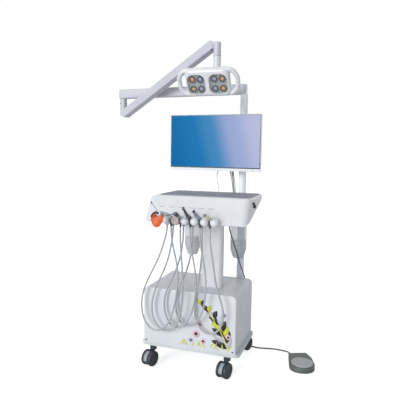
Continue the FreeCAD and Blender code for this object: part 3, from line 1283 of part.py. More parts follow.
def make_foot():
    """The foot control's housing, hollow below and sunk round its pedal."""
    body = foot_slab("foot", "0", "foot_height")
    soften(body, "foot_edge", level_with(value("foot_height")))
    floor = pedal_low() + " - pedal_travel - pass_gap"
    seat = cylinder("foot_seat", "pedal_radius + pedal_gap", "foot_height", "0", "0", floor)
    well = cylinder("foot_well", "pedal_post_radius + running_fit", "foot_height * 2", "0",
                    "0", "foot_wall")
    below = foot_slab("foot_below", "foot_wall", "%s - foot_wall" % floor)
    guide = cylinder("foot_guide", "pedal_post_radius + foot_wall", floor)
    shell = fuse("foot_shell", cut("foot_hollow", body, below, seat), guide)
    return keep(placed(cut("foot_open", shell, well), foot_place()), "foot_housing")


def make_pedal():
    """The round pedal on its post."""
    plate = cylinder("pedal_plate", "pedal_radius", "pedal_thickness", "0", "0", pedal_low())
    post = cylinder("pedal_post", "pedal_post_radius", "pedal_post_length + pedal_thickness / 2",
                    "0", "0", "%s - pedal_post_length" % pedal_low())
    return keep(placed(fuse("pedal", plate, post), foot_place()), "foot_pedal")


# ---- instruments

def instrument_place(index):
    """An instrument's own frame: its tail in the notch, with local +Z out towards its tip."""
    notch = finger_place("finger_first_x + finger_pitch * %s" % (index + 0.5))
    span = value("finger_radius + tail_radius + seat_gap")
    rise = math.sqrt(span ** 2 - value("finger_pitch / 2") ** 2)
    return notch.multiply(Placement(Vector(0, rise, value("tail_offset")), Rotation()))


def boot(index):
    """The hose boot, which hangs from the instrument's tail between two fingers."""
    top = instrument_place(index).multVec(vector("0", "0", "boot_radius * 1.5"))
    piece = document.addObject("Part::Cylinder", "boot")
    piece.Radius = value("boot_radius")
    piece.Height = top.z - value("boot_bottom")
    piece.Placement = Placement(Vector(top.x, top.y, value("boot_bottom")), Rotation())
    bind(piece, Radius="boot_radius")
    return piece


def boot_end(index):
    """The end of an instrument's hose, just below its boot."""
    top = instrument_place(index).multVec(vector("0", "0", "boot_radius * 1.5"))
    return Vector(top.x, top.y, value("boot_bottom - pass_gap"))


def aimed(x, y, z, rise, turn="0"):
    """A frame whose +Z leans up by rise and sideways by turn from the handle's own +Z."""
    return Placement(vector(x, y, z), Rotation(Vector(0, 1, 0), value(turn)).multiply(
        Rotation(Vector(1, 0, 0), -value(rise))))


def make_instrument(index, label, nose, nose_frame, extras):
    """A straight tail in the notch, a nose that leans from it, and the hose boot below."""
    tail = turned(label + "_tail", [("0", "0"), ("tail_radius - 1", "0"),
                                    ("tail_radius", "1"), ("tail_radius", "tail_length"),
                                    ("0", "tail_length")])
    front = turned(label + "_nose", nose)
    ahead = [placed(piece, nose_frame) for piece in [front] + list(extras)]
    whole = placed(fuse(label + "_handle", tail, *ahead), instrument_place(index))
    return keep(fuse(label, whole, boot(index)), label)


def light_frame():
    return aimed("0", "0", "tail_length * 0.85", "lamp_grip_tilt", "lamp_grip_angle")


def make_curing_light():
    """The curing light: a thick grip, and a slender light guide that points up and aside."""
    guide = cylinder("light_guide", "light_guide_radius", "light_guide_length")
    placed(guide, aimed("0", "0", "lamp_grip_length - lamp_grip_radius / 2",
                        "light_guide_tilt", "light_guide_angle"))
    nose = [("0", "0"), ("tail_radius - 1", "0"), ("lamp_grip_radius", "tail_radius"),
            ("lamp_grip_radius", "lamp_grip_length - tail_radius"),
            ("tail_radius", "lamp_grip_length"), ("0", "lamp_grip_length")]
    return make_instrument(0, "curing_light", nose, light_frame(), (guide,))


def make_shield():
    """The orange eye shield: an egg-shaped disc round the curing light's grip."""
    disc = new_body("shield_disc")
    sketch = sketch_on(disc, "XY_Plane", "lamp_grip_length - tail_radius * 2")
    draw_outline(sketch, rectangle("shield_width", "shield_height", "-shield_side",
                                   "-shield_drop"))
    pad(disc, sketch, "shield_thickness")
    soften(disc, "shield_width / 2 - 0.1", upright)
    hole = cylinder("shield_hole", "lamp_grip_radius + running_fit", "lamp_grip_length")
    shield = placed(cut("shield", disc, hole), light_frame())
    return keep(placed(shield, instrument_place(0)), "curing_shield")


def syringe_frame():
    return aimed("0", "0", "tail_length", "0")


def make_syringe():
    """The air and water syringe: a short grip with a slender steel nozzle aside."""
    nozzle = cylinder("nozzle", "nozzle_radius", "nozzle_length")
    placed(nozzle, aimed("0", "0", "syringe_grip_length - nozzle_radius * 2",
                         "nozzle_tilt", "nozzle_angle"))
    nose = [("0", "0"), ("tail_radius - 1", "0"), ("syringe_grip_radius", "tail_radius"),
            ("syringe_grip_radius", "syringe_grip_length - tail_radius"),
            ("tail_radius / 2", "syringe_grip_length"), ("0", "syringe_grip_length")]
    body = make_instrument(1, "syringe_body", nose, syringe_frame(), (nozzle,))
    subparts.pop()
    well = cylinder("push_well", "push_radius", "push_height", "0",
                    "syringe_grip_radius - push_height + push_travel / 2",
                    "syringe_grip_length / 2", axis="y")
    placed(placed(well, syringe_frame()), instrument_place(1))
    return keep(cut("syringe_open", body, well), "syringe")


def make_push():
    """The syringe's button, sunk in the top of its grip."""
    push = cylinder("push", "push_radius - running_fit", "push_height", "0",
                    "syringe_grip_radius - push_height + push_travel * 1.5",
                    "syringe_grip_length / 2", axis="y")
    placed(placed(push, syringe_frame()), instrument_place(1))
    return keep(push, "syringe_button")


def make_turbine():
    """The turbine handpiece: a slim barrel that rises to a small head across its end."""
    head = cylinder("turbine_head", "turbine_head_radius", "turbine_head_height", "0",
                    "-turbine_head_height / 2", "turbine_length", axis="y")
    nose = [("0", "0"), ("tail_radius - 1", "0"), ("turbine_radius", "tail_radius"),
            ("turbine_radius", "turbine_length / 3"),
            ("turbine_head_radius - 1", "turbine_length"), ("0", "turbine_length")]
    frame = aimed("0", "0", "tail_length * 0.9", "turbine_tilt")
    return make_instrument(2, "turbine_handpiece", nose, frame, (head,))


def make_contra_angle():
    """The slow handpiece: a thicker barrel with a contra-angle head."""
    head = cylinder("contra_head", "contra_head_radius", "contra_head_height", "0",
                    "-contra_head_height / 3", "contra_length", axis="y")
    nose = [("0", "0"), ("tail_radius - 1", "0"), ("contra_radius", "tail_radius"),
            ("contra_radius", "contra_length / 2"),
            ("contra_head_radius - 1", "contra_length"), ("0", "contra_length")]
    frame = aimed("0", "0", "tail_length * 0.9", "contra_tilt")
    return make_instrument(3, "contra_angle", nose, frame, (head,))


def make_scaler():
    """The scaler: a plain handle with a hooked steel tip."""
    tip = cylinder("scaler_tip", "scaler_tip_radius", "scaler_tip_length")
    placed(tip, aimed("0", "0", "scaler_length - scaler_tip_radius * 2",
                      "scaler_tip_tilt"))
    nose = [("0", "0"), ("tail_radius - 1", "0"), ("scaler_radius", "tail_radius"),
            ("scaler_radius", "scaler_length * 0.6"),
            ("scaler_tip_radius * 2", "scaler_length"), ("0", "scaler_length")]
    return make_instrument(4, "scaler", nose, aimed("0", "0", "tail_length", "0"), (tip,))


# ---- cords

def cord(label, points, radius):
    """A tube of straight runs joined by tangent arcs, each as large as its runs allow."""
    stations = [Vector(*point) for point in points]
    runs = [(after - before).Length for before, after in zip(stations, stations[1:])]
    edges = []
    radii = []
    start = stations[0]
    for index in range(1, len(stations) - 1):
        corner = stations[index]
        back = (stations[index - 1] - corner).normalize()
        ahead = (stations[index + 1] - corner).normalize()
        half_turn = (math.pi - back.getAngle(ahead)) / 2
        reach = 0.45 * min(runs[index - 1], runs[index])
        bend = reach / math.tan(half_turn)
        radii.append(bend)
        enter = corner + back * reach
        leave = corner + ahead * reach
        inward = (back + ahead).normalize()
        depth = bend / math.cos(half_turn) - bend
        middle = corner + inward * depth
        edges.append(Part.LineSegment(start, enter).toShape())
        edges.append(Part.Arc(enter, middle, leave).toShape())
        start = leave
    edges.append(Part.LineSegment(start, stations[-1]).toShape())
    path = Part.Wire(edges)
    ring = Part.Circle(stations[0], stations[1] - stations[0], radius).toShape()
    tube = path.makePipeShell([Part.Wire([ring])], True, False)
    expected = path.Length * math.pi * radius ** 2
    print("%-18s length %6.0f  least radius %5.1f (%4.1f diameters)  volume ratio %.4f" % (
        label, path.Length, min(radii), min(radii) / radius / 2, tube.Volume / expected))
    piece = document.addObject("Part::Feature", label)
    piece.Shape = tube
    piece.Placement = Placement()
    return keep(piece, label)


def make_cords():
    for index, (name, route) in enumerate(zip(INSTRUMENTS, HOSE_ROUTES)):
        gland = (GLAND_XS[index], value("gland_y"), value("gland_bottom"))
        points = [gland] + route + [tuple(boot_end(index))]
        cord(name + "_hose", points, value("hose_radius"))
    cord("foot_control_cord", FOOT_CORD, value("foot_cord_radius"))
    cord("tray_control_cord", TRAY_CORD, value("tray_cord_radius"))
    cord("video_cord", VIDEO_CORD, value("video_cord_radius"))
    cord("cable_loom", LOOM, value("loom_radius"))


def make_all():
    make_deck()
    make_cover()
    make_pump()
    make_vessel()
    make_supply()
    make_valves()
    make_inlet()
    make_switch()
    make_barb()
    for name in CASTERS:
        make_caster_fork(name)
        make_caster_wheels(name)
        if name.startswith("front"):
            make_caster_brake(name)
    make_column()
    make_tray()
    make_mat()
    make_holder()
    make_glands()
    make_caps()
    make_bottle("water_bottle_left", "tank_left_x")
    make_bottle("water_bottle_right", "tank_right_x")
    make_knob("air_knob", "air_knob")
    make_knob("water_knob", "water_knob")
    make_pole()
    make_clamps()
    make_bracket()
    make_monitor()
    make_panel()
    make_lamp_arm()
    make_elbow()
    make_spring_arm()
    make_knuckle()
    make_neck()
    make_head()
    make_lenses()
    make_lights()
    make_foot()
    make_pedal()
    make_curing_light()
    make_shield()
    make_scaler()
    make_turbine()
    make_contra_angle()
    make_syringe()
    make_push()
    make_cords()


def check_and_write():
    document.recompute()
    for item in document.Objects:
        if "Invalid" in item.State or "Error" in item.State:
            raise RuntimeError("%s failed: %s" % (item.Name, item.State))
    for label, piece in subparts:
        if piece.Shape.isNull() or not piece.Shape.isValid() or not piece.Shape.Solids:
            raise RuntimeError("%s has no valid solid" % label)
    os.makedirs("parts", exist_ok=True)
    for label, piece in subparts:
        piece.Shape.exportStep(os.path.join("parts", label + ".step"))
    print("%d sub-parts written" % len(subparts))


make_all()
check_and_write()
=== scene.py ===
# %% [markdown]
# A portable dental unit is a white steel cabinet on casters. A column carries a moulded tray
# with the handpieces, and a rear pole carries the monitor and the treatment lamp. The packed
# CAD model is the fixed frame: it gives every place, and this script gives every surface.

# %% Load the frame
import json
import math
import bpy
import bmesh
import numpy as np
from mathutils import Matrix


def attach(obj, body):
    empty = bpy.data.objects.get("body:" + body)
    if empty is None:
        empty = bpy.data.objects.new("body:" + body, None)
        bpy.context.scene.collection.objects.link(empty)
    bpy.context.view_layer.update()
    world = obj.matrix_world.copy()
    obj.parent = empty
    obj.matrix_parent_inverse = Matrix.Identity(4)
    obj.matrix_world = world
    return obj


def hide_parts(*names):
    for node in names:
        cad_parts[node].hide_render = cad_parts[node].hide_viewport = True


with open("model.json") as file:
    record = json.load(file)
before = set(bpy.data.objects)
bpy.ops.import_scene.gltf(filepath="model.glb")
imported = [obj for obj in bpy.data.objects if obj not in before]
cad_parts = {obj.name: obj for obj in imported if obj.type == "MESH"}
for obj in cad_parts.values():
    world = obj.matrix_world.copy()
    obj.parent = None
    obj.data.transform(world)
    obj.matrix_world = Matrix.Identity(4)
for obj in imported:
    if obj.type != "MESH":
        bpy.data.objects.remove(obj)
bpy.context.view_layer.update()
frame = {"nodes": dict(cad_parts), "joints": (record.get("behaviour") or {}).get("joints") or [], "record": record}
MM = 0.001


# %% Object helpers
def linked(name, data):
    """A new object in the scene."""
    made = bpy.data.objects.new(name, data)
    bpy.context.scene.collection.objects.link(made)
    return made


def stance(axes, origin=(0, 0, 0)):
    """An object's matrix: its three axes as columns, and its place."""
    matrix = np.eye(4)
    matrix[:3, :3] = np.stack(axes, axis=1)
    matrix[:3, 3] = origin
    return Matrix(matrix.tolist())


# %% [markdown]
# ## The camera
# The view is that of a person standing in front of the cart and a little to its right, at the
# height of its monitor. Three angles turn the camera: its heading, its dip and its lean.

# %% Camera
FRAME_PIXELS = 400
FOCAL_PIXELS = 467.744
SENSOR_MM = 36
CAMERA_PLACE = (0.7435, -2.2261, 1.0602)
CAMERA_YAW, CAMERA_PITCH, CAMERA_ROLL = np.radians([18.633, 5.825, 0.8485])

ahead = np.array([-math.sin(CAMERA_YAW) * math.cos(CAMERA_PITCH),
                  math.cos(CAMERA_YAW) * math.cos(CAMERA_PITCH), -math.sin(CAMERA_PITCH)])
level = np.array([math.cos(CAMERA_YAW), math.sin(CAMERA_YAW), 0])
above = np.cross(level, ahead)
across = level * math.cos(CAMERA_ROLL) + above * math.sin(CAMERA_ROLL)
upward = above * math.cos(CAMERA_ROLL) - level * math.sin(CAMERA_ROLL)
camera = linked("camera", bpy.data.cameras.new("camera"))
camera.data.sensor_width = SENSOR_MM
camera.data.lens = FOCAL_PIXELS / FRAME_PIXELS * SENSOR_MM
camera.matrix_world = stance([across, upward, -ahead], CAMERA_PLACE)
bpy.context.scene.camera = camera
print("lens", round(camera.data.lens, 2), "mm")

# %% [markdown]
# ## Material helpers
# Colours are written as screen hex codes, and one function turns them into the linear values
# that the renderer works with. `add` puts one node into a tree with its settings and links.
# `finish` is the common recipe: a colour that drifts a little over the part, a roughness that
# drifts with it, and a fine relief. Patterns use Object coordinates, which are metres here, so a
# grain of g millimetres needs a noise scale of 1000 / g.

# %% Material helpers
def linear(hex_code):
    """Each sRGB channel c becomes c/12.92 below 0.04045, else ((c + 0.055)/1.055)^2.4."""
    channels = np.array([int(hex_code[i:i + 2], 16) for i in (1, 3, 5)]) / 255
    return tuple(np.where(channels <= 0.04045, channels / 12.92,
                          ((channels + 0.055) / 1.055) ** 2.4)) + (1.0,)


def add(tree, kind, inputs=None, **settings):
    """Adds a node. Settings are its own; inputs are values, or other nodes' sockets."""
    made = tree.nodes.new(kind)
    for key, setting in settings.items():
        setattr(made, key, setting)
    for key, given in (inputs or {}).items():
        if isinstance(given, bpy.types.NodeSocket):
            tree.links.new(given, made.inputs[key])
        else:
            made.inputs[key].default_value = given
    return made


def blank(name):
    """An empty material with its tree and its output node."""
    material = bpy.data.materials.new(name)
    material.use_nodes = True
    material.node_tree.nodes.clear()
    return material, material.node_tree, material.node_tree.nodes.new("ShaderNodeOutputMaterial")


def finish(name, colour, drift, rough, grain=2.0, relief=0.02, patch=90.0, spread=0.06,
           stretch=(1, 1, 1), **sockets):
    """Colour to drift over patches, rough +- spread, and a noise relief; lengths in mm."""
    material, tree, output = blank(name)
    place = add(tree, "ShaderNodeTexCoord").outputs["Object"]
    drawn = add(tree, "ShaderNodeMapping", {"Vector": place, "Scale": stretch}).outputs[0]
    clouds = add(tree, "ShaderNodeTexNoise", {"Vector": place, "Scale": 1000 / patch,
                                              "Detail": 3.0})
    specks = add(tree, "ShaderNodeTexNoise", {"Vector": drawn, "Scale": 1000 / grain,
                                              "Detail": 2.0})
    share = add(tree, "ShaderNodeMapRange", {"Value": clouds.outputs["Fac"], "From Min": 0.35,
                                             "From Max": 0.65})
    mixed = add(tree, "ShaderNodeMix", {"Factor": share.outputs[0], "A": linear(colour),
                                        "B": linear(drift)}, data_type="RGBA")
    gloss = add(tree, "ShaderNodeMapRange", {"Value": specks.outputs["Fac"],
                                             "To Min": rough - spread, "To Max": rough + spread})
    bump = add(tree, "ShaderNodeBump", {"Height": specks.outputs["Fac"], "Strength": 0.6,
                                        "Distance": relief * MM})
    shader = add(tree, "ShaderNodeBsdfPrincipled", {
        "Base Color": mixed.outputs["Result"], "Roughness": gloss.outputs[0],
        "Normal": bump.outputs[0], **sockets})
    tree.links.new(shader.outputs[0], output.inputs["Surface"])
    return material


# %% [markdown]
# ## Materials
# - Powder-coated steel and ABS mouldings: both are off-white. Powder coat has a fine orange-peel
#   relief, and the moulding is smoother with a clear gloss.
# - Nylon, rubber and silicone are dark and matt; they differ in how blurred their sheen is.
# - Metals are chromed, satin or cast. Their grain is fine, and drawn a few times coarser here.

# %% Materials
powder_white = finish("powder_coated_steel_white", "#D1D5DB", "#CACED5", 0.42, 2.5, 0.03,
                      **{"Coat Weight": 0.15, "Coat Roughness": 0.3})
# The white powder coat drawn greyer on the lamp arms, clamps, elbow and knuckle: painted shade.
white_coat_painted_shade = finish("powder_white_painted_shade", "#BFC1CB", "#B8BAC5", 0.40, 2.5, 0.03,
                    **{"Coat Weight": 0.15, "Coat Roughness": 0.3})
# The pole's white powder coat drawn lighter than the cabinet's: painted light where it stands in shade.
pole_painted_light = finish("powder_white_pole_painted_light", "#F0F2F6", "#E8EBF0", 0.40, 2.5, 0.03)
# The column's white powder coat drawn lighter: painted light.
column_painted_light = finish("powder_white_column_painted_light", "#E6E9EE", "#DFE3E8", 0.42, 2.5, 0.03)
powder_deck = finish("powder_coated_steel_deck", "#C9CFD3", "#C1C8CC", 0.45, 2.5, 0.03)
abs_white = finish("abs_moulding_white", "#D8DCE1", "#D2D6DC", 0.30, 1.6, 0.015,
                   **{"Coat Weight": 0.3, "Coat Roughness": 0.15})
abs_pink = finish("abs_moulding_blush", "#EFE0DE", "#E9DADB", 0.28, 1.6, 0.015)
abs_grey = finish("abs_moulding_grey", "#8E949B", "#858B92", 0.42, 1.2, 0.03)
abs_black = finish("abs_moulding_black", "#232529", "#2B2D31", 0.40, 1.2, 0.03)
# Dark rubber for the boots, the nozzle and the screws, and painted shade in the monitor's vent slots and the seam
# over the lamp's neck.
dark_rubber_and_painted_shade = finish("shadow_gasket_rubber", "#4A4E55", "#41454C", 0.60, 1.0, 0.02)
# Grey for the monitor's button, and painted shade for the grooves on the tray's front and between the lamp's back
# ribs.
groove_shade_and_button_grey = finish("painted_groove_shade_and_button_grey", "#9AA0A9", "#90969F", 0.50, 1.0, 0.01)
silicone_grey = finish("silicone_mat_grey", "#7C848E", "#858D97", 0.50, 1.5, 0.03, 60.0)
nylon_dark = finish("caster_nylon_dark", "#2E3840", "#353F47", 0.38, 1.2, 0.03, 30.0)
nylon_hub = finish("caster_hub_nylon", "#747C84", "#6A727A", 0.42, 1.2, 0.03, 25.0)
nylon_strap = finish("brake_pedal_nylon_grey", "#98A1A9", "#8E979F", 0.38, 1.2, 0.03, 25.0)
tread_rubber = finish("polyurethane_tread", "#2A3239", "#323A41", 0.50, 1.2, 0.04, 20.0)
hose_grey = finish("hose_silicone_grey", "#ABB0B6", "#A1A6AD", 0.40, 1.5, 0.02, 40.0,
                   **{"Sheen Weight": 0.15})
cord_black = finish("cord_rubber_dark", "#4C5251", "#434948", 0.50, 1.0, 0.02, 40.0)
cord_white = finish("cord_pvc_white", "#DFE1E3", "#D6D8DB", 0.40, 1.0, 0.02, 40.0)
wrap_grey = finish("spiral_wrap_grey", "#C6C3C8", "#BDBABF", 0.45, 1.5, 0.03, 14.0)
cord_dim = finish("cable_strand_shaded", "#8F938C", "#84887F", 0.50, 1.0, 0.02, 20.0)
strand_grey = finish("cable_strands_grey", "#A9ADA6", "#9CA19A", 0.45, 1.0, 0.02, 20.0)
chrome = finish("chromed_steel", "#C9CCD1", "#BFC3C9", 0.16, 0.8, 0.005, 30.0, 0.04,
                Metallic=1.0)
satin_dark = finish("satin_steel_dark", "#6B6E72", "#5C5F64", 0.34, 0.5, 0.01, 20.0, 0.05,
                    (1, 0.12, 1), Metallic=0.85)
satin_steel = finish("satin_steel_light", "#A9AEBA", "#9CA1AE", 0.28, 0.5, 0.01, 20.0, 0.05,
                     (1, 0.12, 1), Metallic=0.9)
cast_aluminium = finish("cast_aluminium", "#9B9DA1", "#8D9095", 0.50, 1.5, 0.08, 40.0, 0.08,
                        Metallic=0.9)
tank_grey = finish("enamelled_tank_grey", "#8C9198", "#848A91", 0.40, 2.5, 0.03)
sheet_zinc = finish("zinc_plated_sheet", "#A6A9AC", "#9A9EA3", 0.38, 6.0, 0.01, 25.0, 0.08,
                    Metallic=0.9)
valve_brass = finish("turned_brass", "#C7A565", "#B9975A", 0.30, 0.6, 0.01, 20.0, 0.05,
                     Metallic=1.0)
ivory = finish("handle_ivory_plastic", "#DEDACA", "#D5D1C0", 0.32, 1.0, 0.01, 20.0)
tip_purple = finish("anodised_tip_purple", "#5A4F66", "#50465C", 0.30, 0.6, 0.01, 10.0,
                    Metallic=0.7)
collar_blue = finish("collar_pale_blue", "#BFD2DE", "#B4C8D6", 0.25, 1.0, 0.01, 20.0)
tip_blue = finish("tip_dark_blue", "#28345C", "#222C50", 0.30, 1.0, 0.01, 10.0)
foot_grey = finish("foot_control_abs_textured", "#5A605C", "#525754", 0.52, 1.6, 0.08, 30.0)
# The base's grey drawn darker for the well round the pedal: painted shade in the recess.
foot_recess_painted_shade = finish("foot_well_painted_shade", "#3F4543", "#383E3C", 0.55, 1.6, 0.05, 30.0)
pedal_grey = finish("pedal_abs_light_grey", "#AAADAE", "#A1A5A6", 0.48, 1.6, 0.08, 30.0)
board_grey = finish("lamp_reflector_plate_grey", "#A3A9AD", "#999FA4", 0.35, 1.2, 0.03, 15.0)
# The lamp's reflector cups drawn dark: painted shade inside the cups.
cup_painted_shade = finish("lamp_cup_painted_shade", "#3A3638", "#302C30", 0.30, 1.0, 0.01, 10.0)
screen_edge = finish("screen_border_black", "#15181E", "#1B1E25", 0.18, 1.0, 0.003)
print(len(bpy.data.materials), "plain finishes")

# %% [markdown]
# Clear and glowing parts need their own sockets. The shield is orange acrylic, which lets a
# little of what is behind it through. Bottles are milky polyethylene. Lamp domes glow weakly,
# warm or cool. All these are plain values on the shader, so that they survive an export.

# %% Clear and glowing materials
shield_orange = finish("shield_acrylic_orange", "#DC5E0C", "#C24A06", 0.34, 6.0, 0.02, 14.0,
                       0.04, Alpha=0.96, **{"Specular IOR Level": 0.3})
bottle_clear = finish("bottle_polyethylene_milky", "#C6CCCF", "#CED4D7", 0.28, 4.0, 0.03, 40.0,
                      Alpha=0.5)
bottle_water = finish("water_in_bottle", "#9FA9B2", "#97A2AC", 0.20, 6.0, 0.01, 40.0, 0.04,
                      Alpha=0.42)
pane_clear = finish("lamp_pane_polycarbonate", "#DDE1E5", "#D6DADF", 0.08, 4.0, 0.005, 30.0,
                    0.03, Alpha=0.06)
warm = {"Emission Color": linear("#DDA05C"), "Emission Strength": 0.38}
cool = {"Emission Color": linear("#ABA7D2"), "Emission Strength": 0.32}
dome_warm = finish("light_dome_warm", "#A8773F", "#966634", 0.10, 2.0, 0.01, 5.0, 0.03, **warm)
dome_cool = finish("light_dome_cool", "#77749C", "#6A678F", 0.10, 2.0, 0.01, 5.0, 0.03, **cool)


def display(name, left, right, stops):
    """A lit screen: an emission colour ramp from the left edge to the right, in mm."""
    material, tree, output = blank(name)
    place = add(tree, "ShaderNodeTexCoord").outputs["Object"]
    axes = add(tree, "ShaderNodeSeparateXYZ", {"Vector": place})
    rise = add(tree, "ShaderNodeMath", {0: axes.outputs["Z"], 1: 0.25}, operation="MULTIPLY")
    reach = add(tree, "ShaderNodeMath", {0: axes.outputs["X"], 1: rise.outputs[0]},
                operation="ADD")
    share = add(tree, "ShaderNodeMapRange", {"Value": reach.outputs[0], "From Min": left * MM,
                                             "From Max": right * MM})
    ramp = add(tree, "ShaderNodeValToRGB", {"Fac": share.outputs[0]})
    ramp.color_ramp.interpolation = "EASE"
    for position, colour in stops[1:-1]:
        ramp.color_ramp.elements.new(position).color = linear(colour)
    ramp.color_ramp.elements[0].color = linear(stops[0][1])
    ramp.color_ramp.elements[-1].color = linear(stops[-1][1])
    shader = add(tree, "ShaderNodeBsdfPrincipled", {
        "Base Color": linear("#0B0D12"), "Roughness": 0.6, "Emission Strength": 0.86,
        "Specular IOR Level": 0.03,
        "Emission Color": ramp.outputs["Color"]})
    tree.links.new(shader.outputs[0], output.inputs["Surface"])
    return material


screen_lit = display("display_lit", 60, 540, [
    (0, "#0672B4"), (0.3, "#1A7FBE"), (0.5, "#4790C9"), (0.74, "#A3B4E0"), (1, "#C3C8EA")])
print(len(bpy.data.materials), "finishes in all")

# %% [markdown]
# ## Shape helpers
# A surface is a grid of points, worked out as one array, and the quads between its rows and
# columns. Sizes are in millimetres until the mesh is made. A `place` is a rotation matrix and
# an origin, and carries a surface from its own frame to the cart's.

# %% Grids
def shell(grid, caps=(True, True)):
    """Quads join row i to row i+1 and each column to the next, the last to the first."""
    rows, columns, _ = grid.shape
    i, j = np.meshgrid(np.arange(rows - 1), np.arange(columns), indexing="ij")
    k = (j + 1) % columns
    faces = np.stack([i * columns + j, i * columns + k, (i + 1) * columns + k,
                      (i + 1) * columns + j], axis=-1).reshape(-1, 4).tolist()
    if caps[0]:
        faces.append(list(range(columns))[::-1])
    if caps[1]:
        faces.append(list(range((rows - 1) * columns, rows * columns)))
    return grid.reshape(-1, 3), faces


def joined(surfaces):
    """One surface from several: each one's corner numbers are moved past the last one's."""
    starts = np.cumsum([0] + [len(points) for points, _ in surfaces])
    faces = [[corner + start for corner in face]
             for start, (_, some) in zip(starts, surfaces) for face in some]
    return np.concatenate([points for points, _ in surfaces]), faces


def turning(axis, degrees):
    """The rotation matrix about an axis: cos a I + (1 - cos a) n n' + sin a [n]x."""
    n = np.array(axis, float) / np.linalg.norm(axis)
    a = math.radians(degrees)
    cross = np.array([[0, -n[2], n[1]], [n[2], 0, -n[0]], [-n[1], n[0], 0]])
    return math.cos(a) * np.eye(3) + (1 - math.cos(a)) * np.outer(n, n) + math.sin(a) * cross


X, Y, Z = np.eye(3)
FACING = np.array([[1, 0, 0], [0, 0, -1], [0, 1, 0]], float)


def place(origin, *rotations):
    """A frame: the rotations multiplied from the outermost in, and an origin."""
    whole = np.eye(3)
    for rotation in rotations:
        whole = whole @ rotation
    return whole, np.array(origin, float)


def moved(surface, to):
    """Every point p becomes R p + origin."""
    points, faces = surface
    return points @ to[0].T + to[1], faces


def placed(to, *parts):
    """(surface, material) pairs, all carried by one frame."""
    return [(moved(surface, to), material) for surface, material in parts]


def inside(outer, inner):
    """The inner frame, given in the outer one, as a frame of the cart."""
    return outer[0] @ inner[0], outer[0] @ inner[1] + outer[1]


def pivot(joint):
    """A joint's point in millimetres."""
    row = next(row for row in frame["joints"] if row["name"] == joint)
    return np.array(row["pos_m"]) / MM


# %% [markdown]
# Most parts are one of three forms. A slab is a rounded rectangle whose outline shrinks round
# its upper and lower edges. A lathe form is a profile of radius and height turned about Z. A
# sweep carries a section along a line. `eased` softens the corners of a profile.

# %% Forms
def level_ring(ring, z):
    """Flat (x, y) points lifted to the height z."""
    return np.column_stack([ring, np.full(len(ring), z)])


def rectangle(width, depth, corner, steps=6):
    """Four quarter circles (r cos t, r sin t), each about its own corner's centre."""
    radius = max(corner, 0.02)
    t = np.arange(4)[:, None] * np.pi / 2 + np.linspace(0, np.pi / 2, steps)
    signs = np.array([[1, 1], [-1, 1], [-1, -1], [1, -1]], float)
    centres = signs * (np.array([width, depth]) / 2 - radius)
    ring = centres[:, None] + radius * np.stack([np.cos(t), np.sin(t)], -1)
    return ring.reshape(-1, 2)


def edge_steps(height, low, high, steps=5):
    """(inset, level) up a side: a quarter circle out, a straight, and a quarter circle in."""
    t = np.linspace(0, np.pi / 2, steps)
    out = np.stack([low * (1 - np.sin(t)), low * (1 - np.cos(t))], -1)
    back = np.stack([high * (1 - np.cos(t)), height - high * (1 - np.sin(t))], -1)
    margin = 0.4
    return np.concatenate([[[low + margin, 0]], out, back, [[high + margin, height]]])


def slab(width, depth, height, corner, low=1.0, high=1.0, z=0.0, centre=(0, 0)):
    """Rings of rounded rectangles, each smaller by twice its inset, stacked by level."""
    rings = [level_ring(rectangle(width - 2 * inset, depth - 2 * inset, corner - inset)
                        + centre, level + z)
             for inset, level in edge_steps(height, low, high)]
    return shell(np.stack(rings))


def lathe(profile, sides=48):
    """Each (radius, height) becomes a ring (r cos t, r sin t, h)."""
    radius, height = np.asarray(profile, float).T
    t = np.linspace(0, 2 * np.pi, sides, endpoint=False)
    grid = np.stack([radius[:, None] * np.cos(t), radius[:, None] * np.sin(t),
                     np.repeat(height[:, None], sides, axis=1)], -1)
    return shell(grid, (radius[0] > 0, radius[-1] > 0))


def eased(corners, reach, steps=5):
    """Each inner corner c becomes (1-t)^2 a + 2t(1-t) c + t^2 b, a and b reach from it."""
    corners = np.asarray(corners, float)
    before, at, after = corners[:-2], corners[1:-1], corners[2:]
    arm_in, arm_out = before - at, after - at
    size_in = np.linalg.norm(arm_in, axis=1)
    size_out = np.linalg.norm(arm_out, axis=1)
    run = np.minimum(reach, 0.48 * np.minimum(size_in, size_out))
    a = (at + arm_in * (run / size_in)[:, None])[:, None]
    b = (at + arm_out * (run / size_out)[:, None])[:, None]
    t = np.linspace(0, 1, steps)[None, :, None]
    curve = (1 - t) ** 2 * a + 2 * t * (1 - t) * at[:, None] + t ** 2 * b
    return np.concatenate([corners[:1], curve.reshape(-1, corners.shape[1]), corners[-1:]])


def closed(corners, reach, sides=48):
    """A lathe form with eased corners, whose two ends run flat to the axis."""
    return lathe(np.concatenate([[[0, corners[0][1]]], eased(corners, reach),
                                 [[0, corners[-1][1]]]]), sides)


def flowing(points, steps=6):
    """A Catmull-Rom line: 0.5 (2b + (c-a)t + (2a-5b+4c-d)t^2 + (3b-a-3c+d)t^3)."""
    p = np.asarray(points, float)
    p = np.concatenate([[2 * p[0] - p[1]], p, [2 * p[-1] - p[-2]]])
    a, b, c, d = p[:-3], p[1:-2], p[2:-1], p[3:]
    t = np.linspace(0, 1, steps, endpoint=False)[:, None, None]
    line = 0.5 * (2 * b + (c - a) * t + (2 * a - 5 * b + 4 * c - d) * t ** 2
                  + (3 * b - a - 3 * c + d) * t ** 3)
    return np.concatenate([line.transpose(1, 0, 2).reshape(-1, p.shape[1]), p[-2:-1]])


def across_of(line, up):
    """Two unit vectors across the line at each point, the second one towards up."""
    along = np.gradient(line, axis=0)
    along /= np.linalg.norm(along, axis=1, keepdims=True)
    side = np.cross(along, up)
    side /= np.linalg.norm(side, axis=1, keepdims=True)
    return side, np.cross(side, along)


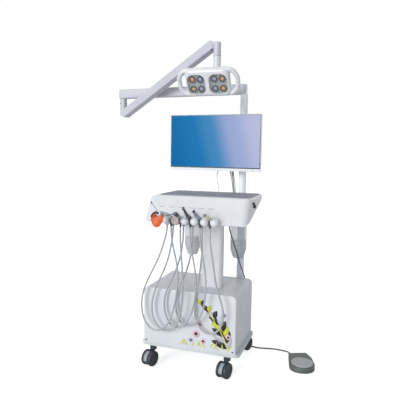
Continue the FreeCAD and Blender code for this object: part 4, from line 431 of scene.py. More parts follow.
def sweep(line, section, up=(0, 0, 1), scale=1.0):
    """The section stands across the line at each station, its second axis up."""
    side, lift = across_of(line, up)
    size = np.broadcast_to(scale, len(line))[:, None, None]
    return shell(line[:, None] + size * (section[None, :, :1] * side[:, None]
                                         + section[None, :, 1:] * lift[:, None]))


def oval(wide, high, sides=20):
    """(a cos t, b sin t)."""
    t = np.linspace(0, 2 * np.pi, sides, endpoint=False)
    return np.stack([wide * np.cos(t), high * np.sin(t)], -1)


def rounded(corners, radii, steps=12):
    """Arcs c + r n(a), n(a) = -m cos a + d sin a: d is the way in, m its left-hand normal."""
    at, radius = np.array(corners, float), np.array(radii, float)[:, None]
    way = at - np.roll(at, 1, axis=0)
    way /= np.linalg.norm(way, axis=1, keepdims=True)
    after = np.roll(way, -1, axis=0)
    turn = np.arccos((way * after).sum(axis=1, keepdims=True))
    left = np.stack([-way[:, 1], way[:, 0]], -1)
    centre = at - way * radius * np.tan(turn / 2) + left * radius
    a = np.linspace(0, 1, steps)[None, :, None] * turn[:, None]
    normals = -left[:, None] * np.cos(a) + way[:, None] * np.sin(a)
    return (centre[:, None] + radius[:, None] * normals).reshape(-1, 2), normals.reshape(-1, 2)


# %% [markdown]
# `piece` makes the mesh object: it merges doubles, turns faces outwards, shades smooth but keeps
# real creases sharp, and fastens the piece to its body. `softened` is for plain CAD solids whose
# shape is right: a copy is merged, its flat faces are joined, and a Bevel gives the edges the
# small radius that pressing, moulding or painting leaves.

# %% Pieces
def piece(name, parts, body, replaces=(), crease=38):
    """Parts are (surface, material) pairs; the object stays at the origin."""
    points, faces = joined([surface for surface, _ in parts])
    mesh = bpy.data.meshes.new(name)
    mesh.from_pydata((points * MM).tolist(), [], faces)
    looks = list(dict.fromkeys(material for _, material in parts))
    for look in looks:
        mesh.materials.append(look)
    mesh.polygons.foreach_set("material_index", np.concatenate(
        [np.full(len(surface[1]), looks.index(material)) for surface, material in parts]))
    return finished(name, mesh, body, replaces, crease)


MERGE, CAD_MERGE = 2e-6, 1e-5
FLAT_ANGLE, BEVEL_ANGLE, PLAIN_CREASE = 1, 40, 32


def merged(mesh, distance, then):
    """Merges corners closer than distance, in metres, then does one more job on the mesh."""
    work = bmesh.new()
    work.from_mesh(mesh)
    bmesh.ops.remove_doubles(work, verts=work.verts, dist=distance)
    then(work)
    work.to_mesh(mesh)
    work.free()


def finished(name, mesh, body, replaces, crease):
    """Merges the mesh, turns its faces outwards, shades it, and fastens its object to a body."""
    merged(mesh, MERGE, lambda work: bmesh.ops.recalc_face_normals(work, faces=work.faces))
    mesh.shade_smooth()
    mesh.set_sharp_from_angle(angle=math.radians(crease))
    made = linked(name, mesh)
    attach(made, body)
    if replaces:
        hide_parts(*replaces)
    return made


BODY_OF = {node: body for body, nodes in frame["record"]["behaviour"]["bodies"].items()
           for node in nodes}


def softened(node, material, width=0.8):
    """A merged copy of a CAD solid with its edges rounded by width, in mm."""
    mesh = frame["nodes"][node].data.copy()
    mesh.materials.clear()
    mesh.materials.append(material)
    merged(mesh, CAD_MERGE, lambda work: bmesh.ops.dissolve_limit(
        work, angle_limit=math.radians(FLAT_ANGLE), verts=work.verts, edges=work.edges))
    mesh.polygons.foreach_set("material_index", np.zeros(len(mesh.polygons), int))
    made = finished(node + "_finished", mesh, BODY_OF[node], [node],
                    PLAIN_CREASE)
    bevel = made.modifiers.new("edge", "BEVEL")
    bevel.width = width * MM
    bevel.segments = 2
    bevel.limit_method = "ANGLE"
    bevel.angle_limit = math.radians(BEVEL_ANGLE)
    bevel.harden_normals = True
    return made


# %% [markdown]
# ## Hoses and cords
# A hose is a fixed length of something flexible. Each one here is a NURBS curve through the same
# route as its CAD solid: out of its gland, down under its own weight, round the bottom of the
# loop and up to its instrument. The five hoses differ in length, so their loops nest.

# %% Routes of the cords, in millimetres
HOSES = {
    "curing_light": (1140, (
        (-108, -184, 712), (-109, -185, 680), (-119, -195, 635), (-135, -198, 581),
        (-158, -200, 527), (-188, -202, 467), (-217, -203, 406), (-232, -204, 346),
        (-231, -206, 288), (-213, -213, 238), (-177, -217, 203), (-131, -220, 199),
        (-89, -220, 233), (-66, -219, 289), (-52, -218, 345), (-41, -220, 403),
        (-36, -222, 461), (-38, -224, 521), (-50, -226, 579), (-64, -227, 636),
        (-71, -225, 685), (-72.3, -223.9, 715.5))),
    "syringe": (1119, (
        (-77, -184, 712), (-78, -185, 672), (-85, -191, 618), (-96, -194, 557),
        (-117, -196, 499), (-144, -198, 443), (-166, -199, 387), (-180, -200, 332),
        (-179, -202, 278), (-158, -205, 231), (-122, -208, 202), (-74, -213, 204),
        (-38, -215.5, 246), (-22, -217, 306), (-15, -219, 365), (-12, -221, 426),
        (-13, -223, 486), (-16, -225, 545), (-21, -227, 604), (-25, -227, 659),
        (-24.9, -223.9, 715.5))),
    "turbine_handpiece": (1072, (
        (-25, -184, 712), (-25, -184, 675), (-28, -186, 630), (-35, -188, 576),
        (-51, -189, 522), (-73, -190, 468), (-98, -191, 417), (-116, -192, 364),
        (-118, -194, 310), (-103, -197, 259), (-70, -202.5, 224), (-24, -208, 227),
        (13, -212, 264), (35, -216, 317), (48, -219, 372), (54, -221, 433),
        (52, -223, 493), (43, -225, 551), (31, -227, 609), (23, -226, 662),
        (22.5, -223.9, 715.5))),
    "contra_angle": (1041, (
        (21, -184, 712), (21, -184, 678), (18, -183, 633), (13, -184, 580), (2, -184, 528),
        (-16, -184, 476), (-41, -185, 424), (-58, -186, 369), (-60, -189, 316),
        (-45, -194, 265), (-15, -198.5, 237), (27, -205, 240), (64, -211, 274),
        (88, -216, 324), (98, -219, 378), (102, -221, 438), (100, -223, 497),
        (92, -225, 556), (79, -227, 613), (71, -226, 665), (69.9, -223.9, 715.5))),
    "scaler": (1090, (
        (66, -184, 712), (67, -184, 656), (68, -183, 600), (64, -184, 540), (57, -184, 477),
        (46, -184, 416), (37, -184, 357), (36, -186, 301), (52, -190, 250),
        (82, -195, 216), (124, -201, 208), (165, -207, 238), (186, -212, 290),
        (185, -216, 343), (170, -219, 394), (153, -221, 447), (143, -223, 501),
        (136, -225, 559), (126, -227, 617), (118, -226, 666), (117.3, -223.9, 715.5)))}
FOOT_CORD = ((84, 148, 92), (84, 148, 64), (92, 160, 34), (108, 184, 12), (128, 206, 4.6),
             (155, 220, 3.9), (186, 225, 3.9), (217, 221, 3.9), (246, 211, 3.9),
             (274, 208, 3.9), (303, 213, 3.9), (331, 220, 3.9), (361, 224, 3.9),
             (391, 221, 3.9), (419, 210, 7), (440.9, 185.9, 13.6), (452, 160.2, 14))
TRAY_CORD = ((182, -125, 735), (182, -125, 706), (183, -93, 672), (184, -40, 620),
             (187, 20, 558), (188, 74, 495), (190, 140, 438), (191, 188, 390),
             (198, 212, 352), (208, 230, 325), (212, 230, 295.5), (212, 210.6, 276),
             (212, 183, 276))
VIDEO_CORD = ((135, 206, 1030), (104, 217, 1027), (72, 216, 1012), (40, 208, 985),
              (20, 199, 950), (23, 191, 914), (33, 185, 882), (40, 180, 848),
              (43, 172, 815), (45, 156, 778), (46, 124, 762), (46, 93, 774), (46, 93, 806))
LOOM = ((132, 196, 1058), (111, 199, 1039), (99, 203, 1006), (98, 206, 974),
        (103, 208, 936), (110, 208, 898), (115, 208, 852), (117, 208, 758.4),
        (116, 174.3, 724.7), (114, 126.7, 724.7), (113, 93, 758.4), (113, 93, 806))


def nurbs(name, route, radius):
    """A smooth curve with the route's points as its control points."""
    curve = bpy.data.curves.new(name, "CURVE")
    curve.dimensions = "3D"
    spline = curve.splines.new("NURBS")
    spline.points.add(len(route) - 1)
    weighted = np.column_stack([np.array(route, float) * MM, np.ones(len(route))])
    spline.points.foreach_set("co", weighted.ravel())
    spline.order_u = 3
    spline.use_endpoint_u = True
    curve.resolution_u = 8
    curve.bevel_depth = radius * MM
    curve.bevel_resolution = 5
    curve.use_fill_caps = True
    return curve


def cord(node, route, radius, material):
    """Draws a cord along its route, fastens it to its body and hides its CAD solid."""
    made = linked(node + "_line", nurbs(node + "_line", route, radius))
    made.data.materials.append(material)
    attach(made, BODY_OF[node])
    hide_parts(node)
    return made


HOSE_RADIUS = 4.3
for name, (length, route) in HOSES.items():
    cord(name + "_hose", route, HOSE_RADIUS, hose_grey)
cord("foot_control_cord", FOOT_CORD, 3.6, cord_black)
cord("tray_control_cord", TRAY_CORD, 3.0, cord_black)
cord("video_cord", VIDEO_CORD, 3.0, cord_white)
print(len(HOSES) + 3, "cords drawn")

# %% [markdown]
# The loom gathers the monitor's and the lamp's cables in a spiral wrap. Its upper end is open,
# so the separate cables show there, loosely side by side. Below that a flat ribbon is wound
# round them: the tube's radius steps in and out with the ribbon's helix.

# %% Cable loom
LOOM_LENGTH, LOOM_RADIUS, OPEN_LENGTH, STATION = 494, 8.6, 225, 1.5
RIBBON_PITCH, RIBBON_STEP, RIBBON_EDGE = 14, 0.9, 0.5
LOOM_UP = (0.2, 1, 0.1)
line_object = linked("loom_guide", nurbs("loom_guide", LOOM, 0))
bpy.context.view_layer.update()
guide = bpy.data.meshes.new_from_object(line_object)
loom_line = np.array([vertex.co[:] for vertex in guide.vertices]) / MM
bpy.data.objects.remove(line_object)


def resampled(line, step):
    """The line's points at even steps of its own length."""
    travelled = np.concatenate([[0], np.cumsum(np.linalg.norm(np.diff(line, axis=0), axis=1))])
    even = np.linspace(0, travelled[-1], int(travelled[-1] / step))
    return np.stack([np.interp(even, travelled, axis) for axis in line.T], -1), even


even_line, travelled = resampled(loom_line, STATION)
side, lift = across_of(even_line, LOOM_UP)
t = np.linspace(0, 2 * np.pi, 24, endpoint=False)
opened = travelled < OPEN_LENGTH
wrap_phase = (travelled[:, None] / RIBBON_PITCH - t / (2 * np.pi)) % 1
wrap_radius = LOOM_RADIUS - RIBBON_STEP * (wrap_phase > 0.78) - RIBBON_EDGE * (wrap_phase < 0.06)
wrapped = (even_line[:, None] + wrap_radius[..., None]
           * (np.cos(t)[:, None] * side[:, None] + np.sin(t)[:, None] * lift[:, None]))
parts = [(shell(wrapped[~opened]), wrap_grey)]
narrowing = (1 - 0.3 * np.clip(travelled / OPEN_LENGTH, 0, 1))[:, None]
for aside, ahead, radius, look in ((-10.2, 2, 2.5, strand_grey), (-5.4, -2.5, 2.8, wrap_grey),
                                   (0.4, 3, 2.9, strand_grey), (5.6, -3, 2.7, cord_dim),
                                   (10.2, 1.5, 2.5, strand_grey)):
    sway = 1.5 * np.sin(travelled / 40 + aside)[:, None]
    strand = even_line + (aside * narrowing + sway) * side + ahead * lift
    parts.append((sweep(strand[travelled < OPEN_LENGTH + 10][::3], oval(radius, radius, 12),
                        LOOM_UP), look))
loom = piece("cable_loom_wrapped", parts, BODY_OF["cable_loom"],
             ["cable_loom"])
print("loom of", len(even_line), "stations")

# %% [markdown]
# ## Plain steel parts
# The cabinet, deck, column, poles, clamps and the inner units are folded, welded or turned, and
# their CAD solids have the right shape. They only need softened edges and their finish.

# %% Plain solids
FRONT_CORNERS, REAR_CORNERS = ("front_left", "front_right"), ("rear_left", "rear_right")
for node, material, width in (
        ("deck", powder_deck, 1.5), ("cabinet_cover", powder_white, 1.0),
        ("column", column_painted_light, 1.0), ("rear_pole", pole_painted_light, 1.0),
        ("pole_clamps", white_coat_painted_shade, 1.5), ("monitor_bracket", abs_grey, 1.2),
        ("power_inlet", abs_black, 0.6), ("power_switch", abs_black, 0.6),
        ("air_inlet_barb", chrome, 0.4), ("compressor", cast_aluminium, 3.0),
        ("air_tank", tank_grey, 1.0), ("power_supply", sheet_zinc, 1.5),
        ("valve_block", valve_brass, 1.0), ("cord_glands", abs_grey, 0.8),
        ("bottle_caps", abs_grey, 1.2),
        ("lamp_elbow", white_coat_painted_shade, 2.0), ("spring_arm", white_coat_painted_shade, 0.8),
        ("lamp_knuckle", white_coat_painted_shade, 1.5), ("lamp_neck", powder_white, 1.5),
        ("syringe_button", abs_grey, 0.5)):
    softened(node, material, width)
for corner in FRONT_CORNERS + REAR_CORNERS:
    softened("caster_fork_" + corner, nylon_dark, 1.0)
for corner in FRONT_CORNERS:
    softened("caster_brake_" + corner, nylon_strap, 1.0)

# %% [markdown]
# ## The tray
# The tray is a hollow ABS moulding, a wedge from the side. Its surface is a row of side outlines
# from left to right, each a ring of rays from one inner point. A ray ends on the full outline,
# or sooner on one of its lines: near the ends the top comes down, the foot comes up, the front
# goes back, and all the lines move in, each along its own quarter circle.

# %% Tray outline
TRAY_LEFT, TRAY_RIGHT, TRAY_TOP = -222.0, 287.0, 853.0
FRONT_TOP_Y, FRONT_LOW_Y, LIP_TOP, LIP_LOW = -146.0, -215.0, 733.0, 729.0
SIDE_CORNERS = np.array([
    (FRONT_LOW_Y, LIP_TOP), (-206, LIP_LOW), (-190, LIP_LOW), (76, 812), (122, 833), (132, 845),
    (132, TRAY_TOP), (FRONT_TOP_Y, TRAY_TOP)])
CORNER_REACH = np.array([3, 3, 10, 14, 6, 3, 4, 7])
HEART, RING_STEP = np.array([-90.0, 783.0]), 6.0
way = np.roll(SIDE_CORNERS, -1, axis=0) - SIDE_CORNERS
way /= np.linalg.norm(way, axis=1, keepdims=True)
line_normals = np.stack([way[:, 1], -way[:, 0]], -1)
line_reach = ((SIDE_CORNERS - HEART) * line_normals).sum(axis=1)
full = eased(np.concatenate([SIDE_CORNERS[-1:], SIDE_CORNERS, SIDE_CORNERS[:1]]),
             CORNER_REACH, 6)[1:-1]
full = resampled(np.concatenate([full, full[:1]]), RING_STEP)[0][:-1]
full_reach = np.linalg.norm(full - HEART, axis=1)
rays = (full - HEART) / full_reach[:, None]
facing = rays @ line_normals.T


def drop(distance, radius):
    """How far a quarter circle lies under its top, at a distance from its outer end."""
    share = np.clip(1 - distance / radius, 0, 1)
    return float(radius * (1 - np.sqrt(1 - share ** 2)))


def tray_ring(x, top_drop, foot_rise, pull, shrink):
    """Along a ray u the line n, at h from the inner point, is met after h / (u . n)."""
    moves = shrink + np.array([0, foot_rise, 0, 0, 0, 0, top_drop, pull])
    met = np.where(facing > 1e-6, (line_reach - moves) / np.maximum(facing, 1e-6), np.inf)
    distance = np.minimum(full_reach, met.min(axis=1))
    outline = HEART + rays * distance[:, None]
    return np.column_stack([np.full(len(outline), x), outline])


# %% Tray body
END_EDGE, FOOT_ROUND, FRONT_ROUND, LEFT_ROUND, RIGHT_ROUND = 7.0, 24.0, 34.0, 45.0, 14.0
from_end = np.unique(np.concatenate([
    END_EDGE * (1 - np.cos(np.linspace(0, np.pi / 2, 7))),
    LEFT_ROUND * (1 - np.cos(np.linspace(0.4, np.pi / 2, 14)))]))
stations = [[end + sign * d] + [drop(d, radius) for radius in
                                (top_round, FOOT_ROUND, FRONT_ROUND, END_EDGE)]
            for end, sign, top_round in ((TRAY_LEFT, 1, LEFT_ROUND), (TRAY_RIGHT, -1, RIGHT_ROUND))
            for d in from_end[::sign]]
tray_parts = [(shell(np.stack([tray_ring(*station) for station in stations])), abs_white)]
FRONT_SLOPE = math.degrees(math.atan2(FRONT_TOP_Y - FRONT_LOW_Y, TRAY_TOP - LIP_TOP))
MARKS, MARK_X, MARK_Z, MARK_PITCH = 6, -140.0, 800.0, 49.4
mark_y = FRONT_LOW_Y + (MARK_Z - LIP_TOP) * (FRONT_TOP_Y - FRONT_LOW_Y) / (TRAY_TOP - LIP_TOP)
# The row of grey dashes stands for grooves in the tray's front: painted groove shade.
for index in range(MARKS):
    at = place((MARK_X + MARK_PITCH * index, mark_y - 0.1, MARK_Z), turning(X, -FRONT_SLOPE),
               FACING)
    tray_parts.append((moved(slab(26, 2.4, 0.5, 1.2, 0.2, 0.2), at), groove_shade_and_button_grey))
piece("tray_shell", tray_parts, "cart", ["tray_body"], 30)
print("tray of", len(stations), "outlines")

# %% [markdown]
# The mat is moulded silicone with a raised rim and fine ribs that keep instruments from rolling.
# Real ribs are about 3 mm apart; here they are 8 mm, which is as fine as a view can show.

# %% Mat
MAT_LEFT, MAT_RIGHT, MAT_FRONT, MAT_BACK, MAT_CORNER = -173.0, 277.0, -141.0, 127.0, 26.0
RIM_HALF, RIM_WIDTH, RIB_PITCH = 3, 5, 8
middle = ((MAT_LEFT + MAT_RIGHT) / 2, (MAT_FRONT + MAT_BACK) / 2)
rim_section = np.array([(-RIM_HALF, 0), (RIM_HALF, 0), (2.4, 2.6), (-2.4, 2.6)], float)
loop = rectangle(MAT_RIGHT - MAT_LEFT - 2 * RIM_HALF, MAT_BACK - MAT_FRONT - 2 * RIM_HALF,
                 MAT_CORNER - RIM_HALF, 12)
loop = level_ring(loop + middle, TRAY_TOP)
out = level_ring(rectangle(1, 1, 0.5, 12), 0)
out /= np.linalg.norm(out, axis=1, keepdims=True)
rim = loop[None] + rim_section[:, 0, None, None] * out[None] \
    + rim_section[:, 1, None, None] * Z
rim_surface = shell(np.concatenate([rim, rim[:1]]), (False, False))
ribs_y = np.linspace(MAT_FRONT + RIM_WIDTH, MAT_BACK - RIM_WIDTH, 241)
ribs_z = TRAY_TOP + 1.4 + 0.5 * np.clip(np.cos(2 * np.pi * ribs_y / RIB_PITCH), -0.4, 1)
ribbed_side = np.concatenate([np.column_stack([ribs_y, ribs_z]),
                              [[ribs_y[-1], TRAY_TOP], [ribs_y[0], TRAY_TOP]]])
field = []
for end, sign in ((MAT_LEFT, 1), (MAT_RIGHT, -1)):
    for d in np.linspace(0, MAT_CORNER, 12)[::sign]:
        less = drop(d, MAT_CORNER)
        y = np.clip(ribbed_side[:, 0], ribs_y[0] + less, ribs_y[-1] - less)
        x = np.full(len(y), end + sign * (RIM_WIDTH + d))
        field.append(np.column_stack([x, y, ribbed_side[:, 1]]))
piece("tray_mat_ribbed", [(rim_surface, silicone_grey), (shell(np.stack(field)), silicone_grey)],
      "cart", ["tray_mat"], 50)

# %% [markdown]
# ## The instrument holder
# Six round fingers stand out of the tray's front, and an instrument rests in each notch between
# two of them. Each finger is turned: a straight barrel, a groove, and a domed end with a cap.

# %% Holder
HANG = turning(X, 70)
FINGERS, FINGER_PITCH, PINK_FINGER = 6, 47.4, 1
FIRST_FINGER = np.array([-96, -210.4, 737.3])
finger = lathe(np.concatenate([
    [[0, -2]], eased([[17, -2], [19, 0], [19, 24], [18.2, 25], [19, 26], [19, 33], [9, 41.5],
                      [6, 41.5]], 6.5, 7), [[5.4, 40.6], [5.2, 40.2], [4.4, 41.9], [0, 42.4]]]))
holder_parts = [(moved(finger, place(FIRST_FINGER + index * FINGER_PITCH * X, HANG)),
                 abs_pink if index == PINK_FINGER else abs_white) for index in range(FINGERS)]
RAIL_X, RAIL_HALF = 22.5, 15
rail_y = FRONT_LOW_Y + RAIL_HALF * (FRONT_TOP_Y - FRONT_LOW_Y) / (TRAY_TOP - LIP_TOP) - 0.2
rail_at = place((RAIL_X, rail_y, LIP_TOP + RAIL_HALF), turning(X, -FRONT_SLOPE), FACING)
holder_parts.append((moved(slab(256, 2 * RAIL_HALF, 4, 8, 0.5, 1.5), rail_at), abs_white))
piece("holder_fingers", holder_parts, "cart", ["instrument_holder"])

# %% [markdown]
# ## Instruments
# Each instrument's own frame has its origin in its notch, +Z towards its tip and +Y up from its
# rest. A handpiece is turned steel: a rear sleeve with grip rings, a tapering barrel, and a head
# across its end. Its hose ends in a ribbed rubber boot that hangs straight down.

# %% Instrument helpers
NOTCH_X, NOTCH_Y, NOTCH_Z = FIRST_FINGER[0] + FINGER_PITCH / 2, -218.266, 756.622
HOSE_Y, HOSE_TOP, BOOT_TOP = -223.9, 715.6, 761.0


def notch(index):
    """The frame of an instrument in its notch."""
    return place((NOTCH_X + FINGER_PITCH * index, NOTCH_Y, NOTCH_Z), HANG)


def leaning(z, rise, turn=0.0):
    """A frame inside an instrument's, whose +Z leans up by rise and aside by turn."""
    return place((0, 0, z), turning(Y, turn), turning(X, -rise))


def ribbed(radius, low, high, pitch, depth):
    """A boot's side: its radius swings by depth with every pitch, and tapers downwards."""
    z = np.linspace(low, high, int((high - low) / pitch) * 4 + 1)
    share = (z - low) / (high - low)
    return np.column_stack([radius * (0.82 + 0.18 * share)
                            + depth * np.clip(np.sin(2 * np.pi * z / pitch), -0.3, 1), z])


def boot(index):
    """The strain relief from the hose's end up into the instrument's tail."""
    profile = np.concatenate([[[0, HOSE_TOP]], ribbed(5.4, 716.0, 745.0, 3.2, 0.7),
                              [[5.4, 748], [5.4, BOOT_TOP], [0, BOOT_TOP]]])
    return moved(lathe(profile, 24), place((NOTCH_X + FINGER_PITCH * index, HOSE_Y, 0)))


def rings(radius, low, high, pitch=3.0, depth=0.5):
    """Grip rings: (radius, height) pairs that dip by depth once every pitch."""
    z = np.arange(low, high, pitch / 4)
    return np.column_stack([radius - depth * (np.arange(len(z)) % 4 == 2), z])


def instrument(index, *parts):
    """Parts are (surface in the instrument's frame, material) pairs."""
    name = list(HOSES)[index]
    piece(name + "_finished", placed(notch(index), *parts) + [(boot(index), dark_rubber_and_painted_shade)], name,
          [name])


def across_tip(lean, length):
    """The frame of a head that sits across a barrel's end."""
    return inside(lean, place((0, 0, length), turning(X, -90)))


SLEEVE = 41.4
tail = lathe(np.concatenate([[[0, 0]], eased([[6, 0], [8.6, 1.2], [9, 5], [9, 12]], 2),
                             rings(9, 13, 33), [[9, 34], [9, 45], [8, 46], [0, 46]]]))

# %% Curing light and its shield
light = leaning(39.1, -8, -5)
grip = closed([[8, 0], [12, 9], [12.4, 50], [12, 86], [10, 92], [9.4, 96]], 8)
collar = lathe([[0, 90], [9.6, 92], [11, 95], [11, 99], [9.8, 101], [6.5, 101.5], [5, 99.5],
                [0, 99.5]])
rod_at = inside(light, leaning(90, 50, -62))
rod = lathe([[0, 0], [1.7, 0], [1.4, 58], [0, 58]], 16)
bead = lathe(eased([[0, 54], [2.4, 55], [3.2, 60], [1.8, 65.6], [0, 66]], 2), 20)
guide = sweep(flowing([(0, 0, 98), (-7, 2, 105), (-18, 0, 107), (-28, -7, 104),
                       (-34, -16, 99)]), oval(4.2, 4.2, 16), (0, 1, 0.3),
              np.linspace(1, 0.8, 25))
instrument(0, (tail, abs_white), *placed(light, (grip, abs_white), (collar, collar_blue)),
           *placed(rod_at, (rod, satin_steel), (bead, tip_blue)), (moved(guide, light), abs_black))


SHIELD_Z, DISH, SHIELD_THICK = 80.5, 6.0, 2.4


def egg(width, height, sharpness, sides):
    """(a cos t (1 + s sin t), b sin t): an ellipse that narrows downwards."""
    ring = oval(width / 2, height / 2, sides)
    return ring * np.stack([1 + sharpness * ring[:, 1] / (height / 2), np.ones(sides)], -1)


hole, outer = oval(12.4, 12.4, 56), egg(61, 74, 0.16, 56) + (-12, -25)
front = np.stack([level_ring(hole * (1 - share) + outer * share, SHIELD_Z + DISH * share ** 2)
                  for share in np.linspace(0, 1, 10)])
back = front - (0, 0, SHIELD_THICK)
disc = shell(np.concatenate([front, back[::-1], front[:1]]), (False, False))
piece("curing_shield_dished", placed(notch(0), (moved(disc, light), shield_orange)),
      "curing_light", ["curing_shield"], 50)

# %% Syringe
grip = closed([[8, 0], [9.5, 6], [9.5, 36], [6, 41], [4.2, 44]], 5)
nozzle_at = inside(leaning(46, 0), leaning(40.6, -24, -52))
nozzle = lathe([[0, 0], [3.4, 0], [3.2, 6], [1.9, 9], [1.5, 38], [1.2, 42], [0, 42]], 20)
hoop = level_ring(oval(2.0, 2.0, 12) + (8.5, 0), 0)[:, [0, 2, 1]]
hoop = np.stack([hoop @ turning(Z, angle).T for angle in np.linspace(0, 360, 41)[:-1]], axis=1)
hoop = shell(np.concatenate([hoop, hoop[:1]]), (False, False))
hoop_at = inside(leaning(80, 0), place((7, -2, 0), turning(X, 38)))
instrument(1, (tail, chrome), (moved(grip, leaning(46, 0)), satin_dark),
           (moved(nozzle, nozzle_at), dark_rubber_and_painted_shade), (moved(hoop, hoop_at), satin_dark))

# %% Turbine handpiece
barrel = closed([[8.4, -4], [8, 4], [7.4, 22], [5.4, 60], [4.6, 74]], 10)
cup = lathe(eased([[0, -7], [4.4, -7], [5.4, -5.5], [5.4, 4], [4.6, 6.2], [0, 6.6]], 1.2), 28)
bur = lathe([[0, -15], [0.8, -14], [0.8, -7], [0, -7]], 12)
lean = leaning(SLEEVE, 16)
instrument(2, (tail, satin_dark), (moved(barrel, lean), satin_dark),
           *placed(across_tip(lean, 74), (cup, satin_dark), (bur, chrome)))

# %% Contra-angle handpiece
barrel = closed([[9, -4], [9.5, 3], [9.5, 30], [6, 50], [5, 62]], 8)
lean = leaning(SLEEVE, 10)
cup = lathe(eased([[0, -6], [5.2, -6], [6.6, -4], [6.6, 2], [5, 5], [0, 5.4]], 1.6), 28)
cap = lathe(eased([[0, 4], [4.8, 4], [4.8, 15], [3.8, 16.6], [0, 17]], 1), 28)
instrument(3, (tail, satin_steel), (moved(barrel, lean), satin_steel),
           *placed(across_tip(lean, 62), (cup, abs_black), (cap, collar_blue)))

# %% Scaler
handle = closed([[8, 0], [8.6, 5], [8.6, 30], [5, 44], [3.4, 50]], 8)
hook = sweep(flowing([(0, 0, 92), (0, 0, 99), (0, -3, 105), (0, -8, 108), (0, -13, 108)]),
             oval(2.0, 2.0, 14), (0, 1, 0.2), np.linspace(1.25, 0.45, 25))
ring = lathe([[0, 40], [6.4, 40.5], [6.6, 42], [5.6, 46], [0, 46]], 32)
instrument(4, (tail, ivory), *placed(leaning(46, 0), (handle, ivory), (ring, tip_purple)),
           (hook, tip_purple))

# %% [markdown]
# ## Water bottles
# Blow-moulded bottles hang from their caps under the tray. The outer skin is one turned surface,
# and the water inside is a second, darker one with a flat top. A shallow groove stiffens the
# body, and a thread shows under the cap.

# %% Bottles
skin = lathe(np.concatenate([
    [[0, 524]], eased([[20, 522], [27, 523], [41, 566], [42, 580], [42, 604], [41.2, 606],
                       [42, 608], [42, 716], [36, 741], [15, 757], [14, 760], [14, 765]], 9, 6),
    [[14, 799], [0, 799]]]), 64)
water = lathe(np.concatenate([
    [[0, 526]], eased([[19, 524.5], [25.5, 525.5], [39.4, 567], [40.4, 580], [40.4, 606]], 8, 6),
    [[40.4, 612], [39.4, 612.6], [0, 612]]]), 64)
thread = lathe([[14, 762], [15.6, 764], [15.6, 767], [14, 769]])
for side in ("left", "right"):
    at = place(pivot("bottle_unscrew_" + side) * (1, 1, 0))
    piece("water_bottle_%s_blown" % side,
          placed(at, (skin, bottle_clear), (water, bottle_water), (thread, bottle_clear)),
          "water_bottle_" + side, ["water_bottle_" + side])

# %% [markdown]
# ## Knobs
# The knobs on the tray's right end set the air and the water. Flutes round the rim give grip:
# the radius dips twelve times in a turn. A white line marks the setting.

# %% Knobs
def fluted(radius, height, flutes, sides=96):
    """r = R (1 - 0.1 (1 + cos(n t)) / 2), with the rim drawn in at the top."""
    t = np.linspace(0, 2 * np.pi, sides, endpoint=False)
    ripple = (1 - 0.10 * (1 + np.cos(flutes * t)) / 2)[:, None]
    levels = [(0.9, 0.3), (1, 0.6), (1, height - 1.4), (0.93, height - 0.3), (0.8, height)]
    return shell(np.stack([level_ring(radius * share * ripple * oval(1, 1, sides), z)
                           for share, z in levels]))


KNOB_HEIGHT, FLUTES = 9, 12
for node, radius in (("air_knob", 5.5), ("water_knob", 9.0)):
    knob = fluted(radius, KNOB_HEIGHT, FLUTES)
    pointer = slab(radius * 0.9, 1.2, 0.5, 0.3, 0.1, 0.1, KNOB_HEIGHT, (-radius * 0.45, 0))
    base = lathe([[0, -3], [radius * 0.7, -3], [radius + 2.2, -0.2], [radius + 2.2, 0.3],
                  [0, 0.3]], 40)
    at = place(pivot(node + "_turn"), turning(Y, 90))
    piece(node + "_fluted", placed(at, (knob, abs_black), (pointer, abs_white),
                                   (base, abs_grey)), node, [node])

# %% [markdown]
# ## Monitor
# A slim office display: a white case with a thin dark border round the glass, a white chin with
# its power button, and a deeper middle behind that holds the electronics and the tilt lugs.

# %% Monitor case
FRONT_Y, VENTS, VENT_Z, VENT_PITCH, LUG_X = 106.0, 5, 57, 7, 23.3
tilt_axis = pivot("monitor_tilt")
face = place((tilt_axis[0], FRONT_Y, tilt_axis[2]), FACING)
# The vent rows are dark strips of painted shade in the slots.
case_parts = placed(face, (slab(490, 291, 19.6, 6, 3.5, 1.4, -20), abs_white),
                    (slab(300, 180, 22, 12, 8, 0.5, -40), abs_white),
                    (slab(112, 112, 3, 6, 1, 0.4, -42), abs_grey),
                    *((slab(210, 3, 1.2, 1.4, 0.3, 0.1, -40.6, (0, VENT_Z + VENT_PITCH * row)),
                       dark_rubber_and_painted_shade) for row in range(VENTS)))
for side in (-1, 1):
    at = place(tilt_axis + (side * LUG_X - 3, -8, 0), turning(Y, 90), turning(Z, 90))
    case_parts.append((moved(slab(22, 30, 6, 10.9, 0.8, 0.8), at), abs_grey))
    web = slab(6, 24, 22, 1, 0.4, 0.4, -62, (side * LUG_X, 0))
    case_parts.append((moved(web, face), abs_grey))
button = moved(lathe([[0, 0], [3, 0], [3, 0.5], [2.5, 0.9], [0, 0.9]], 28),
               place((205, -138.5, -0.4)))
ports = slab(120, 12, 1.4, 2, 0.3, 0.1, -41, (0, -74))
case_parts += placed(face, (button, groove_shade_and_button_grey), (ports, abs_black))
piece("monitor_case", case_parts, "monitor", ["monitor_housing"])

# %% Monitor glass
glass = slab(485, 273.5, 1.6, 3, 0.2, 0.5, -1.2, (0, 6.5))
lit = slab(478, 265, 0.5, 1, 0.1, 0.1, 0.1, (0, 7.5))
piece("monitor_glass", placed(face, (glass, screen_edge), (lit, screen_lit)), "monitor",
      ["monitor_screen"])

# %% [markdown]
# ## Lamp arms
# The two arms are box tubes. The level one is rounded where it turns on the pole and has a
# square closed end over the elbow. The rising one shows the ends of its pivot pins, and the
# knuckle's web fills its open end.

